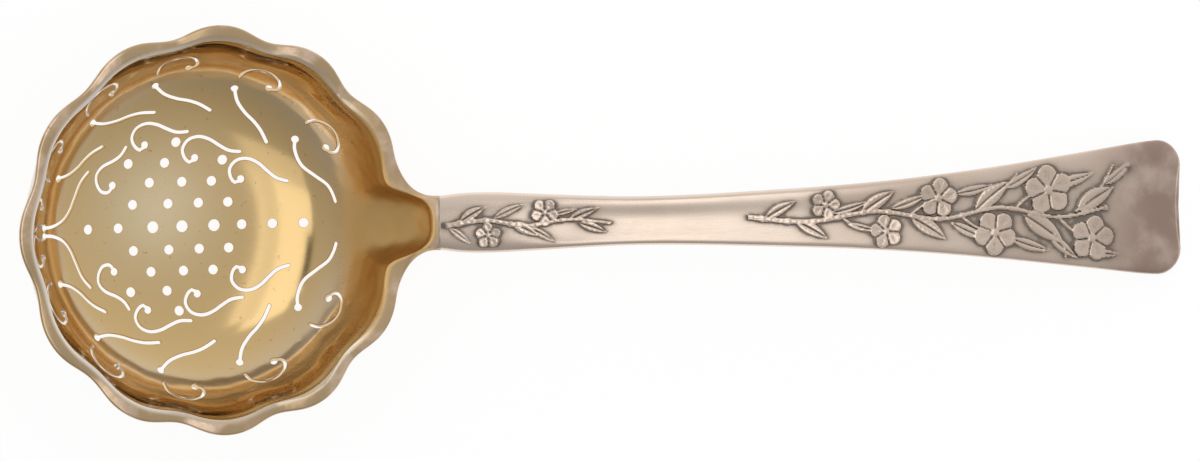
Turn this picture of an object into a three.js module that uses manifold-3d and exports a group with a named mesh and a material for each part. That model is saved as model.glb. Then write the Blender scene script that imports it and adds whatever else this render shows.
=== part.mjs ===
// Pierced serving spoon: a raised, gilt and pierced bowl, hard-soldered at the neck to a die-struck handle.
// Millimetres, +Z up. The spoon lies as it does on a table, on its bowl and on the end of its handle.
// +X runs from the bowl to the handle's end. The origin is the middle of the spoon's box, on the table.
import * as THREE from 'three';
import { mergeVertices } from 'three/addons/utils/BufferGeometryUtils.js';
import Module from 'manifold-3d';

const wasm = await Module();
wasm.setup();

// The whole spoon
const LENGTH = 228.6;

// Bowl, in its own frame: origin in the middle of the rim, +X to the neck, +Z out of the hollow
const BOWL_TILT = 17;
const RIM_RADIUS = 35.9;
const RIM_OVAL = 0.9935;
const BOWL_DEPTH = 21;
const BOTTOM_SHIFT = -1;
const BOTTOM_WALL = 1.1;
const SIDE_WALL = 1.1;
const FLATNESS = 3.7;
const STEEPNESS = 2.3;
const LOBE_START = 0.35;

// Lobed lip
const LOBES = 12;
const LOBE_CROWDING = 0.04;
const SIDE_WAVE = 0.45;
const EDGE_WAVE = 0.92;
const LIP_WIDTH = 2.75;
const LIP_RISE = 1.0;
const LIP_TURN = 100;
const LIP_THICKNESS = 0.9;

// Run of the hollow into the neck, and the neck itself
const HOLLOW_REACH = 7.4;
const HOLLOW_SPREAD = 9;
const NECK_BLUNTNESS = 2.6;
const LIP_FADE = 0.75;
const LIP_FADE_SPREAD = 12;
const NECK_BAND = 1.5;
const NECK_HALF_WIDTH = 5.3;
const NECK_THICKNESS = 4.2;
const NECK_FILLET = 8.2;
const HEEL_FILLET = 7;
const NECK_SLOPE = 0.2;
const SEAM_THICKNESS = 0.3;

// Handle: half-widths and the places where they are, from the joint or from the end
const SHOULDER = { fromJoint: 10, halfWidth: 5.9 };
const WAIST = { fromJoint: 39, halfWidth: 4.75 };
const END_HALF_WIDTH = 13.3;

// The flare's shares of the widening from the waist to the end
const FLARE = [
  { fromEnd: 80, opened: 0.1111 },
  { fromEnd: 60, opened: 0.2515 },
  { fromEnd: 40, opened: 0.4854 },
  { fromEnd: 20, opened: 0.7895 },
  { fromEnd: 7, opened: 0.9883 },
];
const END_CORNER = 5;
const END_HOLLOW = 0.7;
const END_THICKNESS = 2.2;
const END_STRAIGHT = 20;
const END_SLOPE = 0.298;
const WAIST_THICKNESS = 3.8;
const ARCH_FROM_END = 98;
const ARCH_HEIGHT = 17.6;

// Piercing, laid out on the hollow spread flat: distances from the bottom's middle
const DOT_RADIUS = 0.95;
const LARGE_DOT_RADIUS = 1.15;
const BALL_RADIUS = 0.75;
const SLOT_HALF_WIDTH = 0.33;
const LARGE_DOTS = [-5.8, 0.3, 6.7];
const DOT_ROWS = [
  { across: 0, along: [-19.6, -13.1, 12.2, 18.2, 24.2] },
  { across: 4.5, along: [-10, -2.6, 3.6, 9.5] },
  { across: 8.7, along: [-6.5, 0.2, 6.2] },
  { across: 12.5, along: [-11, -3.4] },
  { across: 16.5, along: [-1.2] },
];
const LONE_DOT = new THREE.Vector2(8.3, 12.8);
const SCROLL = [[0, 0], [-1, -0.8], [-2.1, 0.2], [-2.5, 1.9], [-1.4, 3.6], [0.7, 4.2], [2.9, 3.6], [5, 2.3],
  [6.9, 1.3], [9.4, 1]];
const SCROLL_PLACES = [
  { along: 12, across: 8.9, turn: -10 },
  { along: 2.7, across: 13.3, turn: 0 },
  { along: -7.7, across: 16.1, turn: 9 },
];
const TIP_SCROLL = [[-14.3, 8.4], [-15.1, 7.1], [-16.7, 7.3], [-17.7, 8.9], [-17.7, 10.7], [-16.4, 12.2],
  [-14.2, 13.2], [-12.6, 14.3], [-11.5, 16]];
const WAVE = [[29.1, 0], [26.8, -3.7], [25.4, -9.3], [24.8, -15.3], [24.2, -20.8], [23.3, -27]];
const WAVE_PLACES = [
  { angle: 70.5, sweep: 1 },
  { angle: 103.5, sweep: 1 },
  { angle: 133, sweep: 1.05 },
  { angle: 159, sweep: 0.85 },
];
const TIP_WAVE = [[31, 178.5], [28.2, 178], [25.6, 175.5], [24.2, 171], [23.6, 165], [23.3, 156.5],
  [22.6, 149.5]];
const NECK_WAVE = [[28, 37], [26.7, 33], [26.4, 26], [28.1, 19.5], [29.8, 15], [30.5, 11], [30.8, 7.5]];
const HOOK = [[0, 0], [0.4, -2.3], [1.7, -2.6], [3, -0.5], [3.8, 3.2], [3.4, 7], [1.6, 10.6], [-0.6, 11.7]];
const HOOK_DISTANCE = 32.5;
const HOOK_ANGLES = [28.5, 59.5, 91, 121.5, 149.5, 171];

// Struck relief on the handle: a flowering branch, placed by distance from the joint or from the end
const BLOSSOM_HEIGHT = 0.5;
const LEAF_HEIGHT = 0.4;
const TWIG_HEIGHT = 0.3;
const RELIEF_ROOT = 0.6;
const PETALS = 5;
const NECK_SPRIG = {
  blossoms: [
    { at: 9.5, across: -2.4, radius: 2.6, turn: 20 },
    { at: 20.5, across: 1.9, radius: 2.8, turn: 55 },
  ],
  leaves: [
    { at: 4, across: 0.2, length: 6, width: 2.2, turn: 30 },
    { at: 14, across: 0, length: 6, width: 2.2, turn: -27 },
    { at: 25, across: 0.3, length: 6.5, width: 2, turn: 22 },
    { at: 27, across: -0.2, length: 6, width: 2, turn: -20 },
  ],
  twig: [[1.5, -0.5], [9, 0.5], [17, -0.6], [25, 0.5], [33, -0.3]],
};
const END_SPRAY = {
  blossoms: [
    { at: 73, across: 2.4, radius: 3, turn: 0 },
    { at: 61, across: -3, radius: 3.4, turn: 30 },
    { at: 50.5, across: 3.2, radius: 4, turn: 10 },
    { at: 39, across: -3.9, radius: 4.5, turn: 50 },
    { at: 28, across: 4.2, radius: 5, turn: 25 },
    { at: 19, across: -5.6, radius: 4.6, turn: 5 },
  ],
  leaves: [
    { at: 85, across: 0, length: 7, width: 2.4, turn: 28 },
    { at: 79, across: -0.6, length: 7.5, width: 2.6, turn: -30 },
    { at: 66, across: 0.6, length: 8, width: 3, turn: 32 },
    { at: 56, across: -0.4, length: 8.5, width: 3.2, turn: -33 },
    { at: 43, across: 0.6, length: 9, width: 3.6, turn: 38 },
    { at: 33, across: -0.6, length: 10, width: 4, turn: -36 },
    { at: 22, across: 0, length: 9, width: 3.8, turn: 30 },
  ],
  twig: [[88, 0.3], [76, -0.8], [63, 0.9], [50, -0.9], [38, 1], [26, -1.2], [16, 0.4]],
};
const TWIG_HALF_WIDTH = 0.7;

// Fineness of the faceted solids
const RIM_STEPS = 72;
const HOLLOW_ROWS = 10;
const LIP_ROWS = 3;
const BACK_ROWS = 8;
const HANDLE_SECTIONS = 30;
const SCROLL_STEPS = 7;
const WAVE_STEPS = 5;
const TWIG_STEPS = 12;
const TABLE_STEPS = 80;
const FULL_RING_FROM = [0.42, 0.78];

const { sin, cos, abs, sqrt, PI } = Math;
const rad = THREE.MathUtils.degToRad;
const deg = THREE.MathUtils.radToDeg;

// Closed mesh and solid

function meshOf(points, triangles) {
  const geometry = new THREE.BufferGeometry();
  const position = points.flatMap((p) => [p.x, p.y, p.z]);
  geometry.setAttribute('position', new THREE.Float32BufferAttribute(position, 3));
  geometry.setIndex(triangles);
  return geometry;
}

function solidOf(geometry) {
  const bare = geometry.clone();
  bare.deleteAttribute('normal');
  bare.deleteAttribute('uv');
  const merged = mergeVertices(bare, 1e-5);
  const vertProperties = new Float32Array(merged.attributes.position.array);
  const triVerts = new Uint32Array(merged.index.array);
  return new wasm.Manifold(new wasm.Mesh({ numProp: 3, vertProperties, triVerts }));
}

function geometryOf(solid) {
  const { vertProperties, triVerts } = solid.getMesh();
  const geometry = new THREE.BufferGeometry();
  geometry.setAttribute('position', new THREE.BufferAttribute(vertProperties, 3));
  geometry.setIndex(new THREE.BufferAttribute(triVerts, 1));
  geometry.computeVertexNormals();
  return geometry;
}

// Closed surface through a stack of rings, each with any number of points, ended by two flat fans
function stackOf(rings) {
  const points = rings.flat();
  const triangles = [];
  let start = 0;
  rings.slice(1).forEach((upper, row) => {
    const lower = rings[row];
    const next = start + lower.length;
    let i = 0;
    let j = 0;
    while (i < lower.length || j < upper.length) {
      const a = start + (i % lower.length);
      const b = next + (j % upper.length);
      if (i < lower.length && (i + 1) * upper.length <= (j + 1) * lower.length) {
        i += 1;
        triangles.push(a, start + (i % lower.length), b);
      } else {
        j += 1;
        triangles.push(a, next + (j % upper.length), b);
      }
    }
    start = next;
  });
  [[0, rings[0]], [start, rings.at(-1)]].forEach(([first, ring], end) => {
    const middle = new THREE.Vector3();
    ring.forEach((p) => middle.addScaledVector(p, 1 / ring.length));
    const centre = points.push(middle) - 1;
    ring.forEach((_, k) => {
      const a = first + k;
      const b = first + ((k + 1) % ring.length);
      triangles.push(...(end ? [a, b, centre] : [b, a, centre]));
    });
  });
  return meshOf(points, triangles);
}

// Straight prism through a surface: an outline drawn flat, laid on the surface and thickened along its mean normal
function plugOf(outline, surface, below, above) {
  const turned = THREE.ShapeUtils.isClockWise(outline) ? [...outline].reverse() : outline;
  const feet = turned.map((p) => surface(p));
  const normal = feet.reduce((sum, foot) => sum.add(foot.normal), new THREE.Vector3()).normalize();
  const lower = feet.map(({ point }) => point.clone().addScaledVector(normal, -below));
  const upper = feet.map(({ point }) => point.clone().addScaledVector(normal, above));
  const count = turned.length;
  const triangles = [];
  THREE.ShapeUtils.triangulateShape(turned, []).forEach(([a, b, c]) => {
    triangles.push(count + a, count + b, count + c, c, b, a);
  });
  for (let k = 0; k < count; k += 1) {
    const next = (k + 1) % count;
    triangles.push(k, next, count + next, k, count + next, count + k);
  }
  return solidOf(meshOf([...lower, ...upper], triangles));
}

// Bowl surface

function lobeAt(angle) {
  const w = angle + LOBE_CROWDING * sin(angle);
  return cos(LOBES * w) - 0.1 * cos(2 * LOBES * w);
}

function nearNeck(angle, spread) {
  const turn = deg(Math.atan2(sin(angle), cos(angle)));
  return Math.exp(-(abs(turn / spread) ** NECK_BLUNTNESS));
}

// Radius of the crease between hollow and lip, with the lobes and the run into the neck faded in up the side
function creaseRadius(angle, amount) {
  return RIM_RADIUS + amount * (SIDE_WAVE * lobeAt(angle) + HOLLOW_REACH * nearNeck(angle, HOLLOW_SPREAD));
}

// The hollow's profile: a quarter of a superellipse, in even steps outwards from 0 at the bottom to 1 at the crease
function profileAt(t) {
  const turn = (t ** (FLATNESS / 2) * PI) / 2;
  return { out: sin(turn) ** (2 / FLATNESS), down: cos(turn) ** (2 / STEEPNESS) };
}

// Point of the hollow, or of the bowl's back when it has walls; the back starts under the lip
function hollowPoint(angle, t, sideWall = 0, bottomWall = 0) {
  const { out, down } = profileAt(t);
  const fade = THREE.MathUtils.smoothstep(1 - down, LOBE_START, 1);
  const radius = creaseRadius(angle, fade) + sideWall;
  const x = BOTTOM_SHIFT * (1 - out) + RIM_OVAL * radius * cos(angle) * out;
  const start = sideWall ? LIP_THICKNESS / 2 : 0;
  return new THREE.Vector3(x, radius * sin(angle) * out, -start - (BOWL_DEPTH + bottomWall - start) * down);
}

function lipPoint(angle, t, drop = 0) {
  const turn = rad(LIP_TURN * t);
  const share = (1 - cos(turn)) / (1 - cos(rad(LIP_TURN)));
  const width = LIP_WIDTH * (1 - LIP_FADE * nearNeck(angle, LIP_FADE_SPREAD));
  const radius = creaseRadius(angle, 1) + share * (width + (EDGE_WAVE - SIDE_WAVE) * lobeAt(angle));
  return new THREE.Vector3(RIM_OVAL * radius * cos(angle), radius * sin(angle), LIP_RISE * sin(turn) - drop);
}

function ringOf(pointAt, steps = RIM_STEPS) {
  return Array.from({ length: steps }, (_, k) => pointAt((2 * PI * k) / steps));
}

function rowsOf(count) {
  return Array.from({ length: count }, (_, k) => (k + 1) / count);
}

// Rings from the bottom to the crease, with fewer points where they are small
function wallRings(rows, sideWall = 0, bottomWall = 0) {
  return rowsOf(rows).map((t) => {
    const share = FULL_RING_FROM.findIndex((limit) => profileAt(t).out <= limit);
    const steps = share < 0 ? RIM_STEPS : RIM_STEPS / 2 ** (FULL_RING_FROM.length - share);
    return ringOf((angle) => hollowPoint(angle, t, sideWall, bottomWall), steps);
  });
}

// Outside of the bowl from the middle of its back, under the lip, over it and in to the lid of the hollow
const outerRings = [
  ...wallRings(BACK_ROWS, SIDE_WALL, BOTTOM_WALL),
  ringOf((angle) => lipPoint(angle, 0.96, LIP_THICKNESS)),
  ...rowsOf(LIP_ROWS).reverse().map((t) => ringOf((angle) => lipPoint(angle, t))),
  ringOf((angle) => lipPoint(angle, 0).multiplyScalar(1 - LIP_THICKNESS / RIM_RADIUS)),
];

// The bowl stands on its back, with its tip at the start of the spoon
const bowlPlace = new THREE.Matrix4().makeRotationY(rad(BOWL_TILT));
const tiltedPoints = outerRings.flat().map((p) => p.clone().applyMatrix4(bowlPlace));
const tip = Math.min(...tiltedPoints.map((p) => p.x));
const lowest = Math.min(...tiltedPoints.map((p) => p.z));
bowlPlace.setPosition(-LENGTH / 2 - tip, 0, -lowest);

function bowlBody() {
  return solidOf(stackOf(outerRings).applyMatrix4(bowlPlace));
}

function hollowTool() {
  const roof = ringOf((a) => hollowPoint(a, 1).setZ(NECK_THICKNESS));
  return solidOf(stackOf([...wallRings(HOLLOW_ROWS), roof]).applyMatrix4(bowlPlace));
}

// The surface spread flat: arc length along the profile is the distance from the bottom's middle
const arcTable = [0];
for (let k = 1; k <= TABLE_STEPS; k += 1) {
  const span = [k - 1, k].map((n) => profileAt(n / TABLE_STEPS));
  const run = Math.hypot((span[1].out - span[0].out) * RIM_RADIUS, (span[1].down - span[0].down) * BOWL_DEPTH);
  arcTable.push(arcTable[k - 1] + run);
}

function profileParameter(distance) {
  const k = Math.max(1, arcTable.findIndex((length) => length >= distance));
  const share = (distance - arcTable[k - 1]) / (arcTable[k] - arcTable[k - 1]);
  return (k - 1 + share) / TABLE_STEPS;
}

function hollowAt(flat) {
  const angle = flat.angle();
  const t = profileParameter(flat.length());
  const step = 1e-3;
  const low = Math.max(t - step, step);
  const along = hollowPoint(angle, low + step).sub(hollowPoint(angle, low));
  const across = hollowPoint(angle + step, low).sub(hollowPoint(angle - step, low));
  const normal = along.cross(across).normalize();
  return {
    point: hollowPoint(angle, t).applyMatrix4(bowlPlace),
    normal: normal.transformDirection(bowlPlace),
  };
}

// Piercing

function disc(centre, radius, sides = 6) {
  return Array.from({ length: sides }, (_, k) => {
    const turn = (2 * PI * (k + 0.5)) / sides;
    return new THREE.Vector2(radius * cos(turn), radius * sin(turn)).add(centre);
  });
}

// Slot with a drilled ball at its start and a narrow round tail
function slot(points, steps) {
  const curve = new THREE.SplineCurve(points);
  const length = curve.getLength();
  const start = sqrt(BALL_RADIUS ** 2 - SLOT_HALF_WIDTH ** 2) / length;
  const left = [];
  const right = [];
  for (let k = 0; k <= steps; k += 1) {
    const share = start + (1 - start) * (k / steps);
    const middle = curve.getPointAt(share);
    const tangent = curve.getTangentAt(share);
    const side = new THREE.Vector2(-tangent.y, tangent.x).multiplyScalar(SLOT_HALF_WIDTH);
    left.push(middle.clone().add(side));
    right.push(middle.clone().sub(side));
  }
  const tail = curve.getPointAt(1).addScaledVector(curve.getTangentAt(1), SLOT_HALF_WIDTH);
  const back = curve.getTangentAt(0).angle();
  const open = Math.asin(SLOT_HALF_WIDTH / BALL_RADIUS);
  const ball = [1, 2, 3].map((k) => {
    const turn = back + open + (k / 4) * (2 * PI - 2 * open);
    return new THREE.Vector2(cos(turn), sin(turn)).multiplyScalar(BALL_RADIUS).add(points[0]);
  });
  return [...right, tail, ...left.reverse(), ...ball];
}

function polar(distance, angle) {
  return new THREE.Vector2(distance, 0).rotateAround(new THREE.Vector2(), rad(angle));
}

function sidePiercings() {
  const dots = DOT_ROWS.slice(1).flatMap(({ across, along }) => (
    along.map((x) => disc(new THREE.Vector2(x, across), DOT_RADIUS))
  ));
  const scrolls = SCROLL_PLACES.map(({ along, across, turn }) => {
    const place = new THREE.Vector2(along, across);
    const points = SCROLL.map(([x, y]) => new THREE.Vector2(x, y).rotateAround(new THREE.Vector2(), rad(turn)));
    return slot(points.map((p) => p.add(place)), SCROLL_STEPS);
  });
  const tipScroll = slot(TIP_SCROLL.map(([x, y]) => new THREE.Vector2(x, y)), SCROLL_STEPS);
  const waves = WAVE_PLACES.map(({ angle, sweep }) => (
    slot(WAVE.map(([distance, turn]) => polar(distance, angle + sweep * turn)), WAVE_STEPS)
  ));
  const endWaves = [TIP_WAVE, NECK_WAVE].map((wave) => (
    slot(wave.map(([distance, angle]) => polar(distance, angle)), WAVE_STEPS)
  ));
  const hooks = HOOK_ANGLES.map((angle) => (
    slot(HOOK.map(([distance, turn]) => polar(HOOK_DISTANCE + distance, angle + turn)), WAVE_STEPS)
  ));
  return [...dots, ...scrolls, tipScroll, ...waves, ...endWaves, ...hooks];
}

function piercings() {
  const oneSide = sidePiercings();
  const otherSide = oneSide.map((outline) => outline.map((p) => new THREE.Vector2(p.x, -p.y)));
  const middle = DOT_ROWS[0].along.map((x) => disc(new THREE.Vector2(x, 0), DOT_RADIUS));
  const large = LARGE_DOTS.map((x) => disc(new THREE.Vector2(x, 0), LARGE_DOT_RADIUS));
  return [...oneSide, ...otherSide, ...middle, ...large, disc(LONE_DOT, DOT_RADIUS)];
}

// Neck and handle: upright sections along a spine, crowned in front and flat behind

const rimEnd = hollowPoint(0, 1).applyMatrix4(bowlPlace);
const jointX = rimEnd.x + NECK_BAND;
const endX = LENGTH / 2;
const rimSlope = Math.tan(rad(BOWL_TILT));
const neckTop = rimEnd.z - NECK_BAND * rimSlope + LIP_RISE;
const endRise = END_THICKNESS / 2;
const straightX = endX - END_STRAIGHT;

const neckRun = NECK_FILLET + 6;
const spineKnots = [
  { x: jointX - neckRun, z: neckTop - NECK_THICKNESS / 2 + neckRun * rimSlope, slope: -rimSlope },
  { x: jointX, z: neckTop - NECK_THICKNESS / 2, slope: NECK_SLOPE },
  { x: endX - ARCH_FROM_END, z: ARCH_HEIGHT, slope: 0 },
  { x: straightX, z: endRise + END_STRAIGHT * END_SLOPE, slope: -END_SLOPE },
  { x: endX, z: endRise, slope: -END_SLOPE },
];

// Cubic through two knots with their slopes
function spineHeight(x) {
  const last = spineKnots.length - 1;
  const after = Math.min(last, Math.max(1, spineKnots.findIndex((knot) => knot.x > x)));
  const b = x >= spineKnots[last].x ? spineKnots[last] : spineKnots[after];
  const a = spineKnots[spineKnots.indexOf(b) - 1];
  const span = b.x - a.x;
  const t = (x - a.x) / span;
  const rise = (3 * t * t - 2 * t ** 3) * (b.z - a.z);
  const bend = span * (a.slope * t * (1 - t) ** 2 - b.slope * t * t * (1 - t));
  return a.z + rise + bend;
}

function thicknessAt(x) {
  const waistX = jointX + WAIST.fromJoint;
  if (x < waistX) {
    return THREE.MathUtils.lerp(NECK_THICKNESS, WAIST_THICKNESS, Math.max(0, (x - jointX) / WAIST.fromJoint));
  }
  return THREE.MathUtils.lerp(WAIST_THICKNESS, END_THICKNESS, Math.min(1, (x - waistX) / (straightX - waistX)));
}

const FRONT_STEPS = 8;
const FRONT_ROUNDING = 0.8;
const BACK_EDGE = [[-0.985, -0.45], [-0.9, -1], [0.9, -1], [0.985, -0.45]];

// One section's ring, in halves of its width and thickness; deeper adds to the back
function section(x, halfWidth, { deeper = 0, shift = () => 0, thin = 1 } = {}) {
  const middle = spineHeight(x);
  const half = (thin * thicknessAt(x)) / 2;
  const front = Array.from({ length: FRONT_STEPS + 1 }, (_, k) => {
    const turn = (PI * k) / FRONT_STEPS;
    return [cos(turn), sin(turn) ** FRONT_ROUNDING];
  });
  return [...front, ...BACK_EDGE].map(([across, up]) => {
    const y = across * halfWidth;
    const drop = up < 0 ? deeper * sqrt(Math.max(0, 1 - across ** 2)) : 0;
    return new THREE.Vector3(x + shift(y), y, middle + up * half - drop);
  });
}

function roundCorner(distance, radius) {
  const inside = Math.min(Math.max(distance, 0), radius);
  return radius - sqrt(radius ** 2 - inside ** 2);
}

// The neck widens into the lip by a fillet at each side and one at the back, then closes within the hollow
function neckBody() {
  const filletSections = [0.25, 0.42, 0.56, 0.68, 0.78].map((share) => {
    const distance = share * NECK_FILLET;
    const halfWidth = NECK_HALF_WIDTH + roundCorner(distance, NECK_FILLET);
    return section(jointX - distance, halfWidth, { deeper: roundCorner(distance, HEEL_FILLET) });
  });
  const inner = section(jointX - NECK_FILLET - SIDE_WALL, NECK_HALF_WIDTH, { deeper: HEEL_FILLET / 2 });
  const rings = [section(jointX, NECK_HALF_WIDTH), ...filletSections, inner];
  return solidOf(stackOf(rings.reverse()));
}

const handleStart = jointX + SEAM_THICKNESS;

const outline = new THREE.SplineCurve([
  new THREE.Vector2(handleStart, NECK_HALF_WIDTH),
  new THREE.Vector2(jointX + SHOULDER.fromJoint, SHOULDER.halfWidth),
  new THREE.Vector2(jointX + WAIST.fromJoint, WAIST.halfWidth),
  ...FLARE.map(({ fromEnd, opened }) => (
    new THREE.Vector2(endX - fromEnd, THREE.MathUtils.lerp(WAIST.halfWidth, END_HALF_WIDTH, opened)))),
  new THREE.Vector2(endX, END_HALF_WIDTH),
]);

// Handle's end: round corners, an edge a little hollow between them and a softened rim
function endSections() {
  const hollow = (y) => -END_HOLLOW * (1 - Math.min(1, abs(y) / (END_HALF_WIDTH - END_CORNER)) ** 2);
  return [0.75, 0.5, 0.3, 0.14, 0.04, 0].map((share) => {
    const distance = share * END_CORNER;
    const halfWidth = END_HALF_WIDTH - roundCorner(END_CORNER - distance, END_CORNER);
    const shift = (y) => (1 - share) * hollow(y);
    return section(endX - distance, halfWidth, { shift, thin: share ? 1 : 0.6 });
  });
}

function handleBody() {
  const rings = [];
  for (let k = 0; k <= HANDLE_SECTIONS; k += 1) {
    const { x, y } = outline.getPointAt(k / HANDLE_SECTIONS);
    if (x < endX - END_CORNER) rings.push(section(x, y));
  }
  return solidOf(stackOf([...rings, ...endSections()]));
}

// Front surface of the handle over a place on its plan
function handleFront(flat) {
  const samples = [[0, 0], [0.5, 0], [0, 0.5]].map(([dx, dy]) => {
    const x = flat.x + dx;
    const y = flat.y + dy;
    const widthShare = Math.min(1, abs(y) / halfWidthAt(x));
    const crown = (1 - widthShare ** 2) ** (FRONT_ROUNDING / 2);
    return new THREE.Vector3(x, y, spineHeight(x) + (crown * thicknessAt(x)) / 2);
  });
  const along = samples[1].sub(samples[0]);
  const across = samples[2].sub(samples[0]);
  return { point: samples[0], normal: along.cross(across).normalize() };
}

const outlinePoints = outline.getPoints(TABLE_STEPS);

function halfWidthAt(x) {
  const after = outlinePoints.findIndex((p) => p.x >= x);
  if (after < 1) return after < 0 ? END_HALF_WIDTH : NECK_HALF_WIDTH;
  const [a, b] = [outlinePoints[after - 1], outlinePoints[after]];
  return THREE.MathUtils.lerp(a.y, b.y, (x - a.x) / (b.x - a.x));
}

function blossom({ at, across, radius, turn }, place) {
  const count = 4 * PETALS;
  return Array.from({ length: count }, (_, k) => {
    const angle = (2 * PI * k) / count + rad(turn);
    const reach = radius * (0.74 + 0.26 * abs(cos((PETALS * (angle - rad(turn))) / 2)));
    return new THREE.Vector2(place(at) + reach * cos(angle), across + reach * sin(angle));
  });
}

// A leaf starts at its stalk and points along its turn
function leaf({ at, across, length, width, turn }, place) {
  const shape = [[0, 0], [0.2, 0.7], [0.45, 1], [0.75, 0.62], [1, 0], [0.75, -0.62], [0.45, -1], [0.2, -0.7]];
  return shape.map(([along, side]) => (
    new THREE.Vector2(along * length, (side * width) / 2)
      .rotateAround(new THREE.Vector2(), rad(turn))
      .add(new THREE.Vector2(place(at), across))
  ));
}

// Bar of four corners that follows the handle's front
function twig(points, place) {
  const curve = new THREE.SplineCurve(points.map(([at, across]) => new THREE.Vector2(place(at), across)));
  const rings = Array.from({ length: TWIG_STEPS + 1 }, (_, k) => {
    const middle = curve.getPointAt(k / TWIG_STEPS);
    const tangent = curve.getTangentAt(k / TWIG_STEPS);
    return [[1, TWIG_HEIGHT], [1, -RELIEF_ROOT], [-1, -RELIEF_ROOT], [-1, TWIG_HEIGHT]].map(([side, up]) => {
      const reach = side * TWIG_HALF_WIDTH;
      const flat = new THREE.Vector2(middle.x - tangent.y * reach, middle.y + tangent.x * reach);
      const { point, normal } = handleFront(flat);
      return point.addScaledVector(normal, up);
    });
  });
  return solidOf(stackOf(curve.getPoint(1).x > curve.getPoint(0).x ? rings.reverse() : rings));
}

function reliefOf(sprig, place) {
  const plates = [
    ...sprig.leaves.map((item) => ({ shape: leaf(item, place), height: LEAF_HEIGHT })),
    ...sprig.blossoms.map((item) => ({ shape: blossom(item, place), height: BLOSSOM_HEIGHT })),
  ];
  return [
    twig(sprig.twig, place),
    ...plates.map(({ shape, height }) => plugOf(shape, handleFront, RELIEF_ROOT, height)),
  ];
}

// The three pieces

function piece(name, solid, material) {
  const mesh = new THREE.Mesh(geometryOf(solid), material);
  mesh.name = name;
  return mesh;
}

const bowlSolid = piercings().reduce(
  (body, outlineOfHole) => body.subtract(plugOf(outlineOfHole, hollowAt, SIDE_WALL * 2.5, SIDE_WALL * 1.2)),
  bowlTrimmed(),
);

function bowlTrimmed() {
  const beyondJoint = new THREE.BoxGeometry(LENGTH, LENGTH, LENGTH).translate(jointX + LENGTH / 2, 0, 0);
  return bowlBody().add(neckBody()).subtract(hollowTool()).subtract(solidOf(beyondJoint));
}

const seamSolid = solidOf(stackOf([
  section(jointX, NECK_HALF_WIDTH),
  section(handleStart, NECK_HALF_WIDTH),
]));

const relief = [
  ...reliefOf(NECK_SPRIG, (at) => jointX + at),
  ...reliefOf(END_SPRAY, (at) => endX - at),
];
const handleSolid = relief.reduce((body, raised) => body.add(raised), handleBody());

const gilt = new THREE.MeshStandardMaterial({ color: 0xb3904f, roughness: 0.25, metalness: 1 });
const silver = new THREE.MeshStandardMaterial({ color: 0xb9aea6, roughness: 0.32, metalness: 1 });
const solder = new THREE.MeshStandardMaterial({ color: 0xada59c, roughness: 0.4, metalness: 1 });

const spoon = new THREE.Group();
spoon.add(piece('bowl', bowlSolid, gilt));
spoon.add(piece('solder_seam', seamSolid, solder));
spoon.add(piece('handle', handleSolid, silver));

export default spoon;
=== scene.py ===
"""Pierced serving spoon: a gilt, pierced bowl, hard-soldered at the neck to a silver handle in relief.

The spoon lies as on a table, on its bowl and on the end of its handle, with +X from the bowl to the handle's
end and +Z up. Sizes are in millimetres and degrees, and become metres when a mesh is made.
"""

import logging
import math
from collections.abc import Iterable, Sequence
from dataclasses import dataclass, field
from enum import Enum

import bpy
import numpy as np
from mathutils import Matrix, Vector
from mathutils.bvhtree import BVHTree

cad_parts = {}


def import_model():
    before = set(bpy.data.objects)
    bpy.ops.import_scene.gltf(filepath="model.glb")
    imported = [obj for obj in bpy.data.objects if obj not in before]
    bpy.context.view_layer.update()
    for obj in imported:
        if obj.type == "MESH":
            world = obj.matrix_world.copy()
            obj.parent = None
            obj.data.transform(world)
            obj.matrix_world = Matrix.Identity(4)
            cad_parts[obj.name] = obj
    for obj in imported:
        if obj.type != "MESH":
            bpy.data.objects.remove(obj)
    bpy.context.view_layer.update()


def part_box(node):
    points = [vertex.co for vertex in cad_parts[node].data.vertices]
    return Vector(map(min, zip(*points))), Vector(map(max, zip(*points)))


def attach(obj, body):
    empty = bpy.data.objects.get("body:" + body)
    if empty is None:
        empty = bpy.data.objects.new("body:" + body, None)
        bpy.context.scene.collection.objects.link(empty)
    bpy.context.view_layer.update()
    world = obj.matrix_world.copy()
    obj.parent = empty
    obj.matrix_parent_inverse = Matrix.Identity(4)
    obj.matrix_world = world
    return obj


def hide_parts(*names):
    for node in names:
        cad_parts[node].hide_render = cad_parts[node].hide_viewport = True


MM = 0.001
SPLINE_STEPS = 24
SHARP_ANGLE = 40.0
WELD_DISTANCE = 1e-7
CUT_DISTANCE = 1e-8
SAME_PLACES = 1e7
TINY = 1e-9
WHITE = (1, 1, 1, 1)
MIX_INPUTS = (0, 6, 7)
MIX_OUTPUT = 2

log = logging.getLogger("spoon")

Array = np.ndarray
Point = tuple[float, float]
Colour = tuple[float, ...]
Piece = bpy.types.Object
Tree = bpy.types.NodeTree
Socket = bpy.types.NodeSocket


class Coat(Enum):
    """What the pieces are painted with, a number for each vertex, for their finishes to read."""

    LIP = "lip"
    # The wall ring, painted paler and streaked brown as painted shade, and planished.
    WALL = "wall"
    # The throat towards the neck, rougher and painted darker as shade.
    THROAT = "throat"
    # The upper wall towards the tip, painted paler as painted light.
    THIN = "thin"
    RUBBED = "rubbed"
    RECESS = "recess"
    RAISED = "raised"
    TAIL = "tail"


def smoothstep(value: Array, low: float, high: float) -> Array:
    """Returns a soft step from 0 at low to 1 at high."""
    share = np.clip((value - low) / (high - low), 0, 1)
    return share * share * (3 - 2 * share)


def lerp(first: Array, second: Array, share: Array) -> Array:
    """Returns the mix of two values, the second one's part being share."""
    return first + (second - first) * share


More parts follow.
